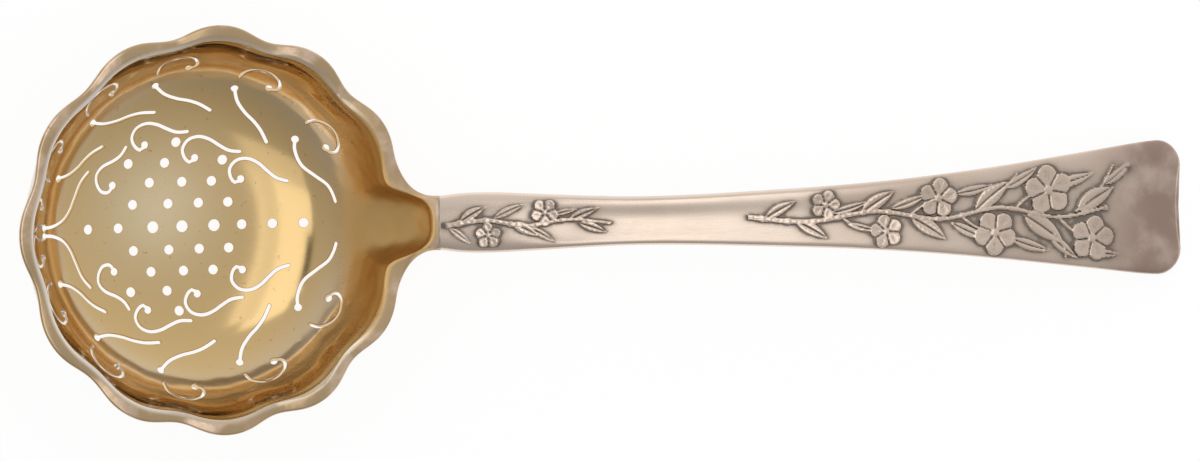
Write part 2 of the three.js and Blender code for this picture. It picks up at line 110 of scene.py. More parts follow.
def spline(points: Sequence[Point], count: int) -> Array:
    """Samples a smooth curve through points at equal steps of its length.

    Args:
        points: The points, in order.
        count: How many samples, both ends among them.

    Returns:
        The samples, one row each.
    """
    knots = np.array(points, float)
    before = np.vstack([knots[:1], knots[:-2], knots[-3:-2]])[: len(knots) - 1]
    after = np.vstack([knots[2:], knots[-1:]])
    fine = []
    for first, start, end, last in zip(before, knots[:-1], knots[1:], after):
        share = np.linspace(0, 1, SPLINE_STEPS, endpoint=False)[:, None]
        slope_in, slope_out = (end - first) / 2, (last - start) / 2
        fine.append(
            start
            + slope_in * share
            + (3 * (end - start) - 2 * slope_in - slope_out) * share**2
            + (2 * (start - end) + slope_in + slope_out) * share**3
        )
    curve = np.vstack([*fine, knots[-1:]])
    run = np.concatenate([[0], np.cumsum(np.linalg.norm(np.diff(curve, axis=0), axis=1))])
    places = np.linspace(0, run[-1], count)
    return np.stack([np.interp(places, run, curve[:, axis]) for axis in range(2)], axis=1)


def unit(vectors: Array) -> Array:
    """Returns the vectors at length 1."""
    return vectors / np.linalg.norm(vectors, axis=-1, keepdims=True)


# Meshes


def deselect_all() -> None:
    """Clears the selection, so that an operator acts on the new piece alone."""
    bpy.ops.object.select_all(action="DESELECT")


def activate(piece: Piece) -> None:
    """Selects one piece alone and makes it the active one.

    Args:
        piece: The piece.
    """
    deselect_all()
    piece.select_set(True)
    bpy.context.view_layer.objects.active = piece


def wrapped_grid(name: str, rings: Array, coats: dict[Coat, Array] | None = None) -> Piece:
    """Adds a flat grid and wraps it round into a closed skin through a stack of rings.

    Args:
        name: The piece's name.
        rings: Rows of rings of points in millimetres. The first and the last are drawn together to a point.
        coats: For each coat to paint, a number for each point of the rings.

    Returns:
        The piece, its seam and its poles closed and its faces pointing out.
    """
    rows, columns = rings.shape[:2]
    deselect_all()
    bpy.ops.mesh.primitive_grid_add(x_subdivisions=columns, y_subdivisions=rows - 1, size=1)
    piece = bpy.context.object
    piece.name = piece.data.name = name
    flat = np.empty(len(piece.data.vertices) * 3)
    piece.data.vertices.foreach_get("co", flat)
    flat = flat.reshape(-1, 3) + 0.5
    column = np.rint(flat[:, 0] * columns).astype(int) % columns
    row = np.rint(flat[:, 1] * (rows - 1)).astype(int)
    piece.data.vertices.foreach_set("co", (rings[row, column] * MM).ravel())
    for coat, values in (coats or {}).items():
        paint(piece, coat, values[row, column])
    activate(piece)
    bpy.ops.object.mode_set(mode="EDIT")
    bpy.ops.mesh.select_all(action="SELECT")
    bpy.ops.mesh.remove_doubles(threshold=WELD_DISTANCE)
    bpy.ops.mesh.normals_make_consistent(inside=False)
    bpy.ops.object.mode_set(mode="OBJECT")
    return piece


def capped(rings: Array) -> Array:
    """Draws both ends of a stack of rings together to their middles.

    Args:
        rings: Rows of rings of points.

    Returns:
        The rings, with a ring of middle points before the first and after the last.
    """
    first, last = (np.broadcast_to(ring.mean(axis=0), rings[:1].shape) for ring in (rings[0], rings[-1]))
    return np.concatenate([first, rings, last])


def trim(piece: Piece, place: float) -> None:
    """Cuts a piece off square at a place along X and closes the cut.

    Args:
        piece: The piece.
        place: Where, in millimetres. What lies beyond it goes.
    """
    activate(piece)
    bpy.ops.object.mode_set(mode="EDIT")
    bpy.ops.mesh.select_all(action="SELECT")
    bpy.ops.mesh.bisect(
        plane_co=(place * MM, 0, 0), plane_no=(1, 0, 0), clear_outer=True, threshold=CUT_DISTANCE
    )
    bpy.ops.mesh.edge_face_add()
    bpy.ops.object.mode_set(mode="OBJECT")


def smooth(piece: Piece, angle: float = SHARP_ANGLE) -> None:
    """Shades a piece smooth, but for edges sharper than an angle in degrees."""
    activate(piece)
    bpy.ops.object.shade_smooth_by_angle(angle=math.radians(angle))


def positions(piece: Piece) -> Array:
    """Reads where a piece's vertices are.

    Args:
        piece: The piece.

    Returns:
        The places in millimetres, one row each.
    """
    flat = np.empty(len(piece.data.vertices) * 3)
    piece.data.vertices.foreach_get("co", flat)
    return flat.reshape(-1, 3) / MM


def paint(piece: Piece, coat: Coat, values: Array) -> None:
    """Writes one number for each vertex, for the material to read.

    Args:
        piece: The piece.
        coat: What is painted.
        values: The numbers, from 0 to 1.
    """
    layer = piece.data.attributes.new(coat.value, "FLOAT", "POINT")
    layer.data.foreach_set("value", np.clip(values, 0, 1).astype(np.float32))


# Handle's form


@dataclass(frozen=True)
class HandleForm:
    """The handle's surface: upright sections along a spine, crowned in front and flat behind.

    Places are along X, from the joint with the bowl or from the handle's end.
    """

    joint: float
    start: float
    end: float
    joint_top: float
    rim_slope: float
    neck_half_width: float = 5.3
    neck_thickness: float = 4.2
    neck_slope: float = 0.2
    neck_run: float = 14.2
    neck_flare: float = 6.3
    neck_flare_length: float = 7.8
    neck_flare_power: float = 2.9
    shoulder: Point = (10, 5.9)
    waist: Point = (39, 4.75)
    flare: tuple[Point, ...] = ((80, 5.7), (60, 6.9), (40, 8.9), (20, 11.5), (7, 13.2))
    end_half_width: float = 13.3
    end_corner: float = 5.0
    end_hollow: float = 0.7
    end_thickness: float = 2.2
    end_straight: float = 20.0
    end_slope: float = 0.298
    end_rim: float = 0.9
    waist_thickness: float = 3.8
    arch_from_end: float = 98.0
    arch_height: float = 17.6
    crown: float = 0.4
    neck_power: float = 3.6
    stem_power: float = 9.0
    stem_start: Point = (12, 26)
    trough_start: Point = (13, 27)
    trough_end: Point = (70, 4)
    trough_depth: float = 0.7
    trough_reach: float = 0.98
    back_rounding: float = 0.1
    outline_samples: int = 400

    def spine(self, x: Array) -> Array:
        """Height of the section's middle.

        Args:
            x: Places along X.

        Returns:
            Heights, from a cubic between each two knots.
        """
        straight = self.end - self.end_straight
        rise = self.end_thickness / 2
        middle = self.joint_top - self.neck_thickness / 2
        knots = (
            (self.joint - self.neck_run, middle + self.neck_run * self.rim_slope, -self.rim_slope),
            (self.joint, middle, self.neck_slope),
            (self.end - self.arch_from_end, self.arch_height, 0.0),
            (straight, rise + self.end_straight * self.end_slope, -self.end_slope),
            (self.end, rise, -self.end_slope),
        )
        height = np.full(np.shape(x), knots[0][1], float)
        for (x0, z0, slope0), (x1, z1, slope1) in zip(knots[:-1], knots[1:]):
            span = x1 - x0
            share = np.clip((x - x0) / span, 0, 1)
            bend = span * (slope0 * share * (1 - share) ** 2 - slope1 * share**2 * (1 - share))
            value = z0 + (3 * share**2 - 2 * share**3) * (z1 - z0) + bend
            height = np.where(x >= x0, value, height)
        return height

    def half_thickness(self, x: Array) -> Array:
        """Half of the section's thickness.

        Args:
            x: Places along X.

        Returns:
            Half-thicknesses.
        """
        places = (self.joint, self.joint + self.waist[0], self.end - self.end_straight, self.end)
        values = (self.neck_thickness, self.waist_thickness, self.end_thickness, self.end_thickness)
        return np.interp(x, places, values) / 2

    def half_width(self, x: Array) -> Array:
        """Half of the section's width, with the flare into the lip and the round corners.

        Args:
            x: Places along X.

        Returns:
            Half-widths.
        """
        knots = [
            (self.start, self.neck_half_width),
            (self.joint + self.shoulder[0], self.shoulder[1]),
            (self.joint + self.waist[0], self.waist[1]),
            *((self.end - back, half) for back, half in self.flare),
            (self.end, self.end_half_width),
        ]
        curve = spline(knots, self.outline_samples)
        width = np.interp(x, curve[:, 0], curve[:, 1])
        behind = np.clip(self.joint - x, 0, None) / self.neck_flare_length
        corner = np.clip(self.end_corner - (self.end - x), 0, self.end_corner)
        cut = self.end_corner - np.sqrt(self.end_corner**2 - corner**2)
        return width + self.neck_flare * behind**self.neck_flare_power - cut

    def power(self, x: Array) -> Array:
        """How square the front's crown is: round on the neck, flat with a rolled rim from the stem on."""
        return lerp(self.neck_power, self.stem_power, smoothstep(x - self.joint, *self.stem_start))

    def trough(self, x: Array, share: Array) -> Array:
        """Depth of the shallow trough along the middle, which leaves a rim on each side.

        Args:
            x: Places along X.
            share: Shares of the half-width.

        Returns:
            Depths under the crown.
        """
        start, fade = self.trough_end
        depth = self.trough_depth * smoothstep(x - self.joint, *self.trough_start)
        depth = depth * (1 - smoothstep(start - (self.end - x), 0, start - fade))
        return depth * np.cos(np.clip(np.abs(share) / self.trough_reach, 0, 1) * math.pi / 2) ** 2

    def crowned(self, x: Array, share: Array) -> Array:
        """Height of the front over the section's middle, as a share of the half-thickness.

        Args:
            x: Places along X.
            share: Shares of the half-width.

        Returns:
            Shares, 1 at the top of the crown.
        """
        crown = np.maximum(1 - np.abs(share) ** self.power(x), 0) ** self.crown
        return crown - self.trough(x, share) / self.half_thickness(x)

    def front(self, x: Array, y: Array) -> Array:
        """Height of the front over places on the plan.

        Args:
            x: Places along X.
            y: Places across.

        Returns:
            Heights.
        """
        share = np.clip(np.abs(y) / self.half_width(x), 0, 1)
        return self.spine(x) + self.half_thickness(x) * self.crowned(x, share)

    def section(self, x: Array, across: Array, up: Array) -> Array:
        """Points of sections, from shares of their half-width and half-thickness.

        Args:
            x: Places of the sections, one row each.
            across: Shares of the half-width.
            up: Shares of the half-thickness.

        Returns:
            Points, as rows of sections.
        """
        z = self.spine(x) + up * self.half_thickness(x)
        return np.stack(np.broadcast_arrays(x, across * self.half_width(x), z), axis=-1)

    def back_line(self, steps: int, flat: int) -> tuple[Array, Array]:
        """Shares across and down along the back, flat between two rounded edges.

        Args:
            steps: How many steps each rounded edge has.
            flat: How many steps the flat has.

        Returns:
            The shares, from the front's second end round to its first, without the ends.
        """
        turn = np.linspace(0, math.pi / 2, steps + 1)[1:]
        edge = 1 - self.back_rounding * (1 - np.cos(turn))
        level = np.linspace(-1, 1, flat + 1)[1:-1] * (1 - self.back_rounding)
        across = np.concatenate([-edge, level, edge[::-1]])
        down = -np.concatenate([np.sin(turn), np.ones(flat - 1), np.sin(turn)[::-1]])
        return across, down


# Bowl's form


@dataclass(frozen=True)
class BowlForm:
    """The bowl's surface in its own frame: from the rim's middle, +X to the neck, +Z out of the hollow."""

    tilt: float = 17.0
    rim_radius: float = 35.9
    rim_oval: float = 0.9935
    depth: float = 21.0
    bottom_shift: float = -1.0
    bottom_wall: float = 1.1
    side_wall: float = 1.1
    flatness: float = 3.7
    steepness: float = 2.3
    lobe_start: float = 0.35
    lobes: int = 12
    lobe_crowding: float = 0.04
    lobe_bluntness: float = 0.1
    side_wave: float = 0.45
    edge_wave: float = 0.92
    lip_width: float = 2.7
    lip_rise: float = 1.0
    lip_fold: float = 0.75
    lip_turn: float = 100.0
    lip_squareness: float = 2.9
    lip_thickness: float = 0.9
    under_lip: float = 0.4
    under_lip_start: float = 0.9
    hollow_reach: float = 7.4
    hollow_spread: float = 9.4
    hollow_bluntness: float = 4.0
    neck_bluntness: float = 2.6
    lip_fade: float = 0.55
    lip_fade_spread: float = 12.0
    table_steps: int = 400

    def lobe(self, angle: Array) -> Array:
        """The lip's wave at angles round the bowl."""
        turn = self.lobes * (angle + self.lobe_crowding * np.sin(angle))
        return np.cos(turn) - self.lobe_bluntness * np.cos(2 * turn)

    def near_neck(self, angle: Array, spread: float, bluntness: float | None = None) -> Array:
        """How near angles are to the neck, from 1 there to 0 past a spread in degrees."""
        turn = np.degrees(np.arctan2(np.sin(angle), np.cos(angle)))
        return np.exp(-(np.abs(turn / spread) ** (bluntness or self.neck_bluntness)))

    def crease(self, angle: Array, amount: Array) -> Array:
        """Radius of the crease between hollow and lip, with the waves and the run into the neck faded in."""
        reach = self.hollow_reach * self.near_neck(angle, self.hollow_spread, self.hollow_bluntness)
        return self.rim_radius + amount * (self.side_wave * self.lobe(angle) + reach)

    def rise(self, angle: Array) -> Array:
        """Height of the lip over the rim, lower in the folds between the lobes."""
        return self.lip_rise * (1 - self.lip_fold * (1 - self.lobe(angle)) / 2)

    def edge(self, angle: Array) -> Array:
        """Radius of the lip's edge away from the neck."""
        width = self.lip_width * (1 - self.lip_fade * self.near_neck(angle, self.lip_fade_spread))
        return self.crease(angle, 1.0) + width + (self.edge_wave - self.side_wave) * self.lobe(angle)

    def profile(self, t: Array) -> tuple[Array, Array]:
        """The hollow's profile, a quarter of a superellipse, from 0 at the bottom to 1 at the crease."""
        turn = np.clip(t, 0, 1) ** (self.flatness / 2) * math.pi / 2
        return np.sin(turn) ** (2 / self.flatness), np.cos(turn) ** (2 / self.steepness)

    def arc_table(self) -> tuple[Array, Array]:
        """Measures the hollow's profile.

        Returns:
            Profile parameters and the lengths along the profile where they are.
        """
        t = np.linspace(0, 1, self.table_steps + 1)
        out, down = self.profile(t)
        steps = np.hypot(np.diff(out) * self.rim_radius, np.diff(down) * self.depth)
        return t, np.concatenate([[0], np.cumsum(steps)])

    def wall_parameter(self, drop: Array) -> Array:
        """Finds depths on the bowl's back.

        Args:
            drop: Depths under the rim.

        Returns:
            Profile parameters of the back where it is so deep.
        """
        start = self.lip_thickness / 2
        down = np.clip((drop - start) / (self.depth + self.bottom_wall - start), 0, 1)
        turn = np.arccos(down ** (self.steepness / 2)) * 2 / math.pi
        return turn ** (2 / self.flatness)

    def hollow(self, angle: Array, t: Array, side_wall: float = 0, bottom_wall: float = 0) -> Array:
        """Points of the hollow, or of the bowl's back when it has walls.

        Args:
            angle: Angles round the bowl.
            t: Profile parameters.
            side_wall: Thickness at the rim.
            bottom_wall: Thickness at the bottom.

        Returns:
            Points in the bowl's own frame.
        """
        out, down = self.profile(t)
        radius = self.crease(angle, smoothstep(1 - down, self.lobe_start, 1)) + side_wall
        if not side_wall:
            belly = smoothstep(1 - down, self.lobe_start, self.under_lip_start)
            radius = radius - self.under_lip * belly * (1 - smoothstep(1 - down, self.under_lip_start, 1))
        x = self.bottom_shift * (1 - out) + self.rim_oval * radius * np.cos(angle) * out
        start = self.lip_thickness / 2 if side_wall else 0
        z = -start - (self.depth + bottom_wall - start) * down
        return np.stack(np.broadcast_arrays(x, radius * np.sin(angle) * out, z), axis=-1)

    def plan(self, angle: Array, radius: Array, z: Array) -> Array:
        """Points at a radius and a height over the rim, in the bowl's own frame."""
        x = self.rim_oval * radius * np.cos(angle)
        return np.stack(np.broadcast_arrays(x, radius * np.sin(angle), z), axis=-1)

    def turned(self, points: Array) -> Array:
        """Points of the bowl's own frame, turned to the bowl's tilt but not yet moved."""
        return self.about_y(points, math.radians(self.tilt))

    def unturned(self, points: Array) -> Array:
        """Points in the bowl's own frame, from points that are turned to its tilt."""
        return self.about_y(points, -math.radians(self.tilt))

    @staticmethod
    def about_y(points: Array, turn: float) -> Array:
        """Turns points about the Y axis.

        Args:
            points: The points.
            turn: The angle, in radians.

        Returns:
            The turned points.
        """
        x, y, z = np.moveaxis(points, -1, 0)
        c, s = math.cos(turn), math.sin(turn)
        return np.stack([x * c + z * s, y, z * c - x * s], axis=-1)


# Piercing


@dataclass(frozen=True)
class Piercing:
    """Layout of the holes on the hollow spread flat, as distances from the bottom's middle."""

    dot_radius: float = 0.95
    large_dot_radius: float = 1.15
    ball_radius: float = 0.75
    slot_half_width: float = 0.33
    softening: float = 0.1
    filed_back: float = 0.3
    filed_hook: float = 0.1
    large_dots: tuple[float, ...] = (-5.8, 0.3, 6.7)
    middle_dots: tuple[float, ...] = (-19.6, -13.1, 12.2, 18.2, 24.2)
    dot_rows: tuple[tuple[float, tuple[float, ...]], ...] = (
        (4.5, (-10, -2.6, 3.6, 9.5)),
        (8.7, (-6.5, 0.2, 6.2)),
        (12.5, (-11, -3.4)),
        (16.5, (-1.2,)),
    )
    lone_dot: Point = (8.3, 12.8)
    scroll: tuple[Point, ...] = (
        (0, 0), (-1, -0.8), (-2.1, 0.2), (-2.5, 1.9), (-1.4, 3.6), (0.7, 4.2), (2.9, 3.6), (5, 2.3),
        (6.9, 1.3), (9.4, 1),
    )
    scroll_places: tuple[tuple[float, float, float], ...] = ((12, 8.9, -10), (2.7, 13.3, 0), (-7.7, 16.1, 9))
    tip_scroll: tuple[Point, ...] = (
        (-14.3, 8.4), (-15.1, 7.1), (-16.7, 7.3), (-17.7, 8.9), (-17.7, 10.7), (-16.4, 12.2), (-14.2, 13.2),
        (-12.6, 14.3), (-11.5, 16),
    )
    wave: tuple[Point, ...] = (
        (29.1, 0), (26.8, -3.7), (25.4, -9.3), (24.8, -15.3), (24.2, -20.8), (23.3, -27),
    )
    wave_places: tuple[Point, ...] = ((70.5, 1), (103.5, 1), (133, 1.05), (159, 0.85))
    tip_wave: tuple[Point, ...] = (
        (31, 178.5), (28.2, 178), (25.6, 175.5), (24.2, 171), (23.6, 165), (23.3, 156.5), (22.6, 149.5),
    )
    neck_wave: tuple[Point, ...] = (
        (28, 37), (26.7, 33), (26.4, 26), (28.1, 19.5), (29.8, 15), (30.5, 11), (30.8, 7.5),
    )
    hook: tuple[Point, ...] = (
        (0, 0), (0.4, -2.3), (1.7, -2.6), (3, -0.5), (3.8, 3.2), (3.4, 7), (1.6, 10.6), (-0.6, 11.7),
    )
    hook_distance: float = 32.5
    hook_angles: tuple[float, ...] = (28.5, 59.5, 91, 121.5, 149.5, 171)
    dot_sides: int = 24
    slot_steps: int = 30
    fine_steps: int = 6
    tail_steps: int = 7
    head_steps: int = 15
    head_opening: float = 1.3
    saw_above: float = 1.2
    mouth: float = 0.02
    straight_share: float = 0.3
    saw_below: float = 3.0

    @staticmethod
    def polar(distance: float, angle: float) -> Point:
        """A place from its distance and its angle in degrees."""
        return distance * math.cos(math.radians(angle)), distance * math.sin(math.radians(angle))

    def disc(self, centre: Point, radius: float) -> Array:
        """Outline of a round hole."""
        turn = np.linspace(0, 2 * math.pi, self.dot_sides, endpoint=False)
        return np.array(centre) + radius * np.stack([np.cos(turn), np.sin(turn)], axis=1)

    def slot(self, points: Sequence[Point], widen: float) -> Array:
        """Outline of a sawn slot with a drilled ball at its start and a round tail.

        Args:
            points: The slot's middle line, from the ball to the tail.
            widen: How much wider it is all round than the size named.

        Returns:
            The outline's points, in order.
        """
        half, ball = self.slot_half_width + widen, self.ball_radius + widen
        middle = spline(points, self.fine_steps * self.slot_steps)
        apart = np.linalg.norm(middle - middle[0], axis=1)
        first = int(np.argmax(apart > math.sqrt(self.ball_radius**2 - self.slot_half_width**2)))
        middle = middle[first :: self.fine_steps]
        tangent = unit(np.gradient(middle, axis=0))
        side = np.stack([-tangent[:, 1], tangent[:, 0]], axis=1) * half
        turn = np.linspace(-math.pi / 2, math.pi / 2, self.tail_steps)[1:-1, None]
        tail = middle[-1] + half * (tangent[-1] * np.cos(turn) + unit(side[-1]) * np.sin(turn))
        out = math.atan2(tangent[0, 1], tangent[0, 0])
        opening = math.asin(half / ball) * self.head_opening
        round_turn = out + np.linspace(opening, 2 * math.pi - opening, self.head_steps)[1:-1]
        head = np.array(points[0]) + ball * np.stack([np.cos(round_turn), np.sin(round_turn)], axis=1)
        return np.vstack([middle - side, tail, (middle + side)[::-1], head])

    def slots(self) -> list[list[Point]]:
        """Lays out the slots on one side of the bowl.

        Returns:
            Their middle lines, the hooks on the wall last.
        """
        lines = []
        for along, across, turn in self.scroll_places:
            c, s = math.cos(math.radians(turn)), math.sin(math.radians(turn))
            lines.append([(along + x * c - y * s, across + x * s + y * c) for x, y in self.scroll])
        lines.append(list(self.tip_scroll))
        for angle, sweep in self.wave_places:
            lines.append([self.polar(d, angle + sweep * a) for d, a in self.wave])
        lines += [[self.polar(d, a) for d, a in wave] for wave in (self.tip_wave, self.neck_wave)]
        far = self.hook_distance
        lines += [[self.polar(far + d, angle + a) for d, a in self.hook] for angle in self.hook_angles]
        return lines

    def outlines(self, widen: float) -> list[Array]:
        """Outlines of all the holes.

        Args:
            widen: How much wider they are than their sizes.

        Returns:
            One closed outline for each hole, always in the same order.
        """
        dot, large = self.dot_radius + widen, self.large_dot_radius + widen
        one_side = [self.disc((x, across), dot) for across, along in self.dot_rows for x in along]
        lines = self.slots()
        on_wall = len(lines) - len(self.hook_angles)
        one_side += [self.slot(line, widen) for line in lines[:on_wall]]
        one_side += [self.slot(line, min(widen, self.filed_hook)) for line in lines[on_wall:]]
        other_side = [outline[::-1] * (1, -1) for outline in one_side]
        middle = [self.disc((x, 0), dot) for x in self.middle_dots]
        middle += [self.disc((x, 0), large) for x in self.large_dots]
        return [*one_side, *other_side, *middle, self.disc(self.lone_dot, dot)]

    def levels(self, wall: float) -> tuple[Point, ...]:
        """Outline of the saw from above the hollow to below the back.

        Args:
            wall: The wall's thickness.

        Returns:
            Heights over the hollow, each with how much wider the hole is there.
        """
        return (
            (self.saw_above, self.softening),
            (self.mouth, self.softening),
            (-self.softening, 0.0),
            (-self.straight_share * wall, 0.0),
            (-wall, self.filed_back),
            (-self.saw_below * wall, self.filed_back),
        )


# Pieces


@dataclass(frozen=True)
class Rim:
    """The bowl's rim as it runs round into the neck, with a value for each column of the skin.

    The nearness is 1 on the neck and 0 away from it. The inset is where the lip's top ends, and from there
    the edge turns outward by the reach, which is that of the nose on the neck.
    """

    angle: Array
    crease: Array
    inset: Array
    outward: Array
    nearness: Array
    nose: Array
    reach: Array


@dataclass
class Bowl:
    """The raised bowl with its lobed lip and its neck, as one skin that is trimmed, pierced and dressed."""

    form: BowlForm
    piercing: Piercing
    name: str = "bowl_gilt"
    columns: int = 336
    hollow_rows: int = 92
    lip_rows: int = 16
    edge_rows: int = 5
    under_rows: int = 12
    back_rows: int = 44
    neck_crowding: float = 5.0
    neck_crowding_spread: float = 13.0
    neck_blend: float = 7.0
    neck_window: Point = (20.0, 27.0)
    outline_blend: float = 0.3
    wall_start: float = 1.7
    neck_wall_start: float = 7.2
    back_crowding: float = 1.15
    least_crossing: float = 0.05
    least_run: float = 1e-3
    overshoot: float = 0.6
    edge_clearance: float = 0.02
    search_span: Point = (0.5, 1.6)
    search_rounds: int = 40
    settling_samples: tuple[int, int] = (720, 200)
    angle_samples: int = 4001
    lip_height: Point = (-1.6, -0.2)
    lip_run: Point = (0.3, 1.1)
    # Where reflection and shade are painted on the wall ring, by height.
    wall_height: Point = (0.12, 0.5)
    # Where light is painted on the upper wall towards the tip: its heights, and its run along X.
    tip_light_height: Point = (0.1, 0.38)
    tip_light_run: Point = (-26.0, 4.0)
    # Where the throat, painted darker as shade, starts along X.
    throat_run: Point = (26.0, 33.0)
    rubbed_middle: Point = (-6.0, 4.0)
    rubbed_radius: float = 13.0
    dented_from: Point = (0.12, 0.4)
    dented_to: Point = (0.96, 1.0)
    dent_count: int = 14
    dent_lengths: Point = (2.6, 6.5)
    dent_depth: float = 0.006
    dent_seed: int = 5
    throat_dents: float = 2.2
    measuring_step: float = 1e-3
    same_facing: float = 0.9
    place: Array = field(default_factory=lambda: np.zeros(3))

    def settle(self) -> HandleForm:
        """Sets the bowl on the table with its tip at the spoon's start.

        Returns:
            The handle's form, which starts from the bowl's neck.
        """
        low, high = (np.array(corner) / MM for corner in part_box("bowl"))
        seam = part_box("solder_seam")
        form = self.form
        round_samples, deep_samples = self.settling_samples
        angle = np.linspace(0, 2 * math.pi, round_samples, endpoint=False)
        t = np.linspace(0, 1, deep_samples)
        back = form.turned(form.hollow(angle[:, None], t, form.side_wall, form.bottom_wall))
        edge = form.turned(form.plan(angle, form.edge(angle), form.lip_rise))
        start = low[0] + self.edge_clearance
        self.place = np.array([start - edge[:, 0].min(), 0.0, low[2] - back[..., 2].min()])
        rim_end = form.turned(form.hollow(np.zeros(1), np.ones(1)))[0] + self.place
        slope = math.tan(math.radians(form.tilt))
        return HandleForm(
            joint=float(high[0]),
            start=seam[1].x / MM,
            end=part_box("handle")[1].x / MM,
            joint_top=float(rim_end[2] - (high[0] - rim_end[0]) * slope + form.lip_rise),
            rim_slope=slope,
        )

    def angles(self) -> Array:
        """Spreads the columns round the bowl.

        Returns:
            Their angles, closer together at the neck.
        """
        turn = np.linspace(-math.pi, math.pi, self.angle_samples)
        density = 1 + self.neck_crowding * self.form.near_neck(turn, self.neck_crowding_spread)
        run = np.concatenate([[0], np.cumsum((density[1:] + density[:-1]) / 2)])
        return np.interp(np.arange(self.columns) * run[-1] / self.columns, run, turn)

    def world(self, points: Array) -> Array:
        """Points on the table, from points in the bowl's own frame."""
        return self.form.turned(points) + self.place

    def neck_reach(self, angle: Array, handle: HandleForm) -> Array:
        """Radius of the neck's outline seen from the bowl's middle.

        Args:
            angle: Angles round the bowl.
            handle: The handle's form.

        Returns:
            Radii, where each line leaves the neck or passes the joint.
        """
        form = self.form
        low, high = (np.full(angle.shape, form.rim_radius * share) for share in self.search_span)
        for _ in range(self.search_rounds):
            middle = (low + high) / 2
            x, y, _ = np.moveaxis(self.world(form.plan(angle, middle, form.lip_rise)), -1, 0)
            limit = np.where(x < handle.joint + self.overshoot, handle.half_width(x), -1.0)
            inside = np.abs(y) < limit
            low, high = np.where(inside, middle, low), np.where(inside, high, middle)
        return low

    def outline(self, angle: Array, handle: HandleForm) -> Array:
        """Radius of the whole outline: the lip's edge, run softly into the neck's sides.

        Args:
            angle: Angles round the bowl.
            handle: The handle's form.

        Returns:
            Radii.
        """
        edge = self.form.edge(angle)
        neck = self.neck_reach(angle, handle)
        joined = (edge + neck + np.sqrt((edge - neck) ** 2 + 4 * self.outline_blend**2)) / 2
        turn = np.abs(np.degrees(np.arctan2(np.sin(angle), np.cos(angle))))
        return lerp(joined, edge, smoothstep(turn, *self.neck_window))

    def dented(self, own: Array, amount: Array) -> Array:
        """Gives the hollow's wall the soft unevenness of raised and planished metal.

        Args:
            own: Rows of rings of the hollow's points, in the bowl's own frame.
            amount: How deep the marks are at each point.

        Returns:
            The points, moved along the hollow's normals.
        """
        chance = np.random.default_rng(self.dent_seed)
        height = np.zeros(own.shape[:2])
        for _ in range(self.dent_count):
            direction = unit(chance.normal(size=3)) * 2 * math.pi / chance.uniform(*self.dent_lengths)
            height += np.sin(own @ direction + chance.uniform(0, 2 * math.pi))
        around = np.roll(own, -1, axis=1) - np.roll(own, 1, axis=1)
        normal = np.cross(np.gradient(own, axis=0), around)
        normal /= np.maximum(np.linalg.norm(normal, axis=-1, keepdims=True), TINY)
        return own + (self.dent_depth * amount * height)[..., None] * normal

    def rim(self, handle: HandleForm) -> Rim:
        """Lays out the rim.

        Args:
            handle: The handle's form, which the neck runs into.

        Returns:
            The rim, in the bowl's own frame.
        """
        form = self.form
        angle = self.angles()
        radius = self.outline(angle, handle)
        out = form.plan(angle, radius, 0.0)
        tangent = unit(np.roll(out, -1, axis=0) - np.roll(out, 1, axis=0))
        outward = np.stack([tangent[:, 1], -tangent[:, 0], tangent[:, 2]], axis=1)
        level = self.world(form.plan(angle, radius, form.lip_rise))[:, 0]
        nearness = 1 - smoothstep(handle.joint - level, 0, self.neck_blend)
        nose = handle.half_width(level) * handle.back_rounding
        reach = lerp(form.lip_thickness / 2, nose, nearness)
        crease = form.plan(angle, form.crease(angle, 1.0), 0.0)
        return Rim(angle, crease, out - outward * reach[:, None], outward, nearness, nose, reach)

    def hollow(self, angle: Array) -> Array:
        """Spreads the rings of the hollow, from its middle to the crease.

        Args:
            angle: Angles of the columns.

        Returns:
            Rows of rings of points.
        """
        form = self.form
        table_t, table_run = form.arc_table()
        t = np.interp(np.linspace(0, 1, self.hollow_rows + 1) * table_run[-1], table_run, table_t)
        own = form.hollow(angle, t[:, None])
        height = 1 + own[..., 2] / form.depth
        marked = smoothstep(height, *self.dented_from) * (1 - smoothstep(height, *self.dented_to))
        throat = smoothstep(own[..., 0], *self.throat_run)
        return self.world(self.dented(own, marked * lerp(1.0, self.throat_dents, throat)))

    def lip(self, rim: Rim, handle: HandleForm) -> Array:
        """Turns the lip out from the crease, and on the neck runs it into the handle's crown.

        Args:
            rim: The rim.
            handle: The handle's form.

        Returns:
            Rows of rings of points.
        """
        form = self.form
        turn = np.linspace(0, math.radians(form.lip_turn), self.lip_rows + 1)[1:, None]
        level = np.sign(np.cos(turn)) * np.abs(np.cos(turn)) ** (2 / form.lip_squareness)
        share = (1 - level) / (1 - level[-1])
        top = rim.crease + share[..., None] * (rim.inset - rim.crease)
        top[..., 2] = form.rise(rim.angle) * np.sin(turn) ** (2 / form.lip_squareness)
        top = self.world(top)
        crease_x = self.world(rim.crease)[:, 0]
        run = np.maximum(top[-1, :, 0] - crease_x, self.least_run)
        crossing = np.clip((handle.joint - crease_x) / run, self.least_crossing, 1)
        crossing = np.where(top[-1, :, 0] > handle.joint, crossing, 1.0)
        near = 1 - smoothstep(handle.joint - top[..., 0], 0, self.neck_blend)
        weight = near * smoothstep(share / crossing, 0, 1)
        top[..., 2] = lerp(top[..., 2], handle.front(top[..., 0], top[..., 1]), weight)
        return top

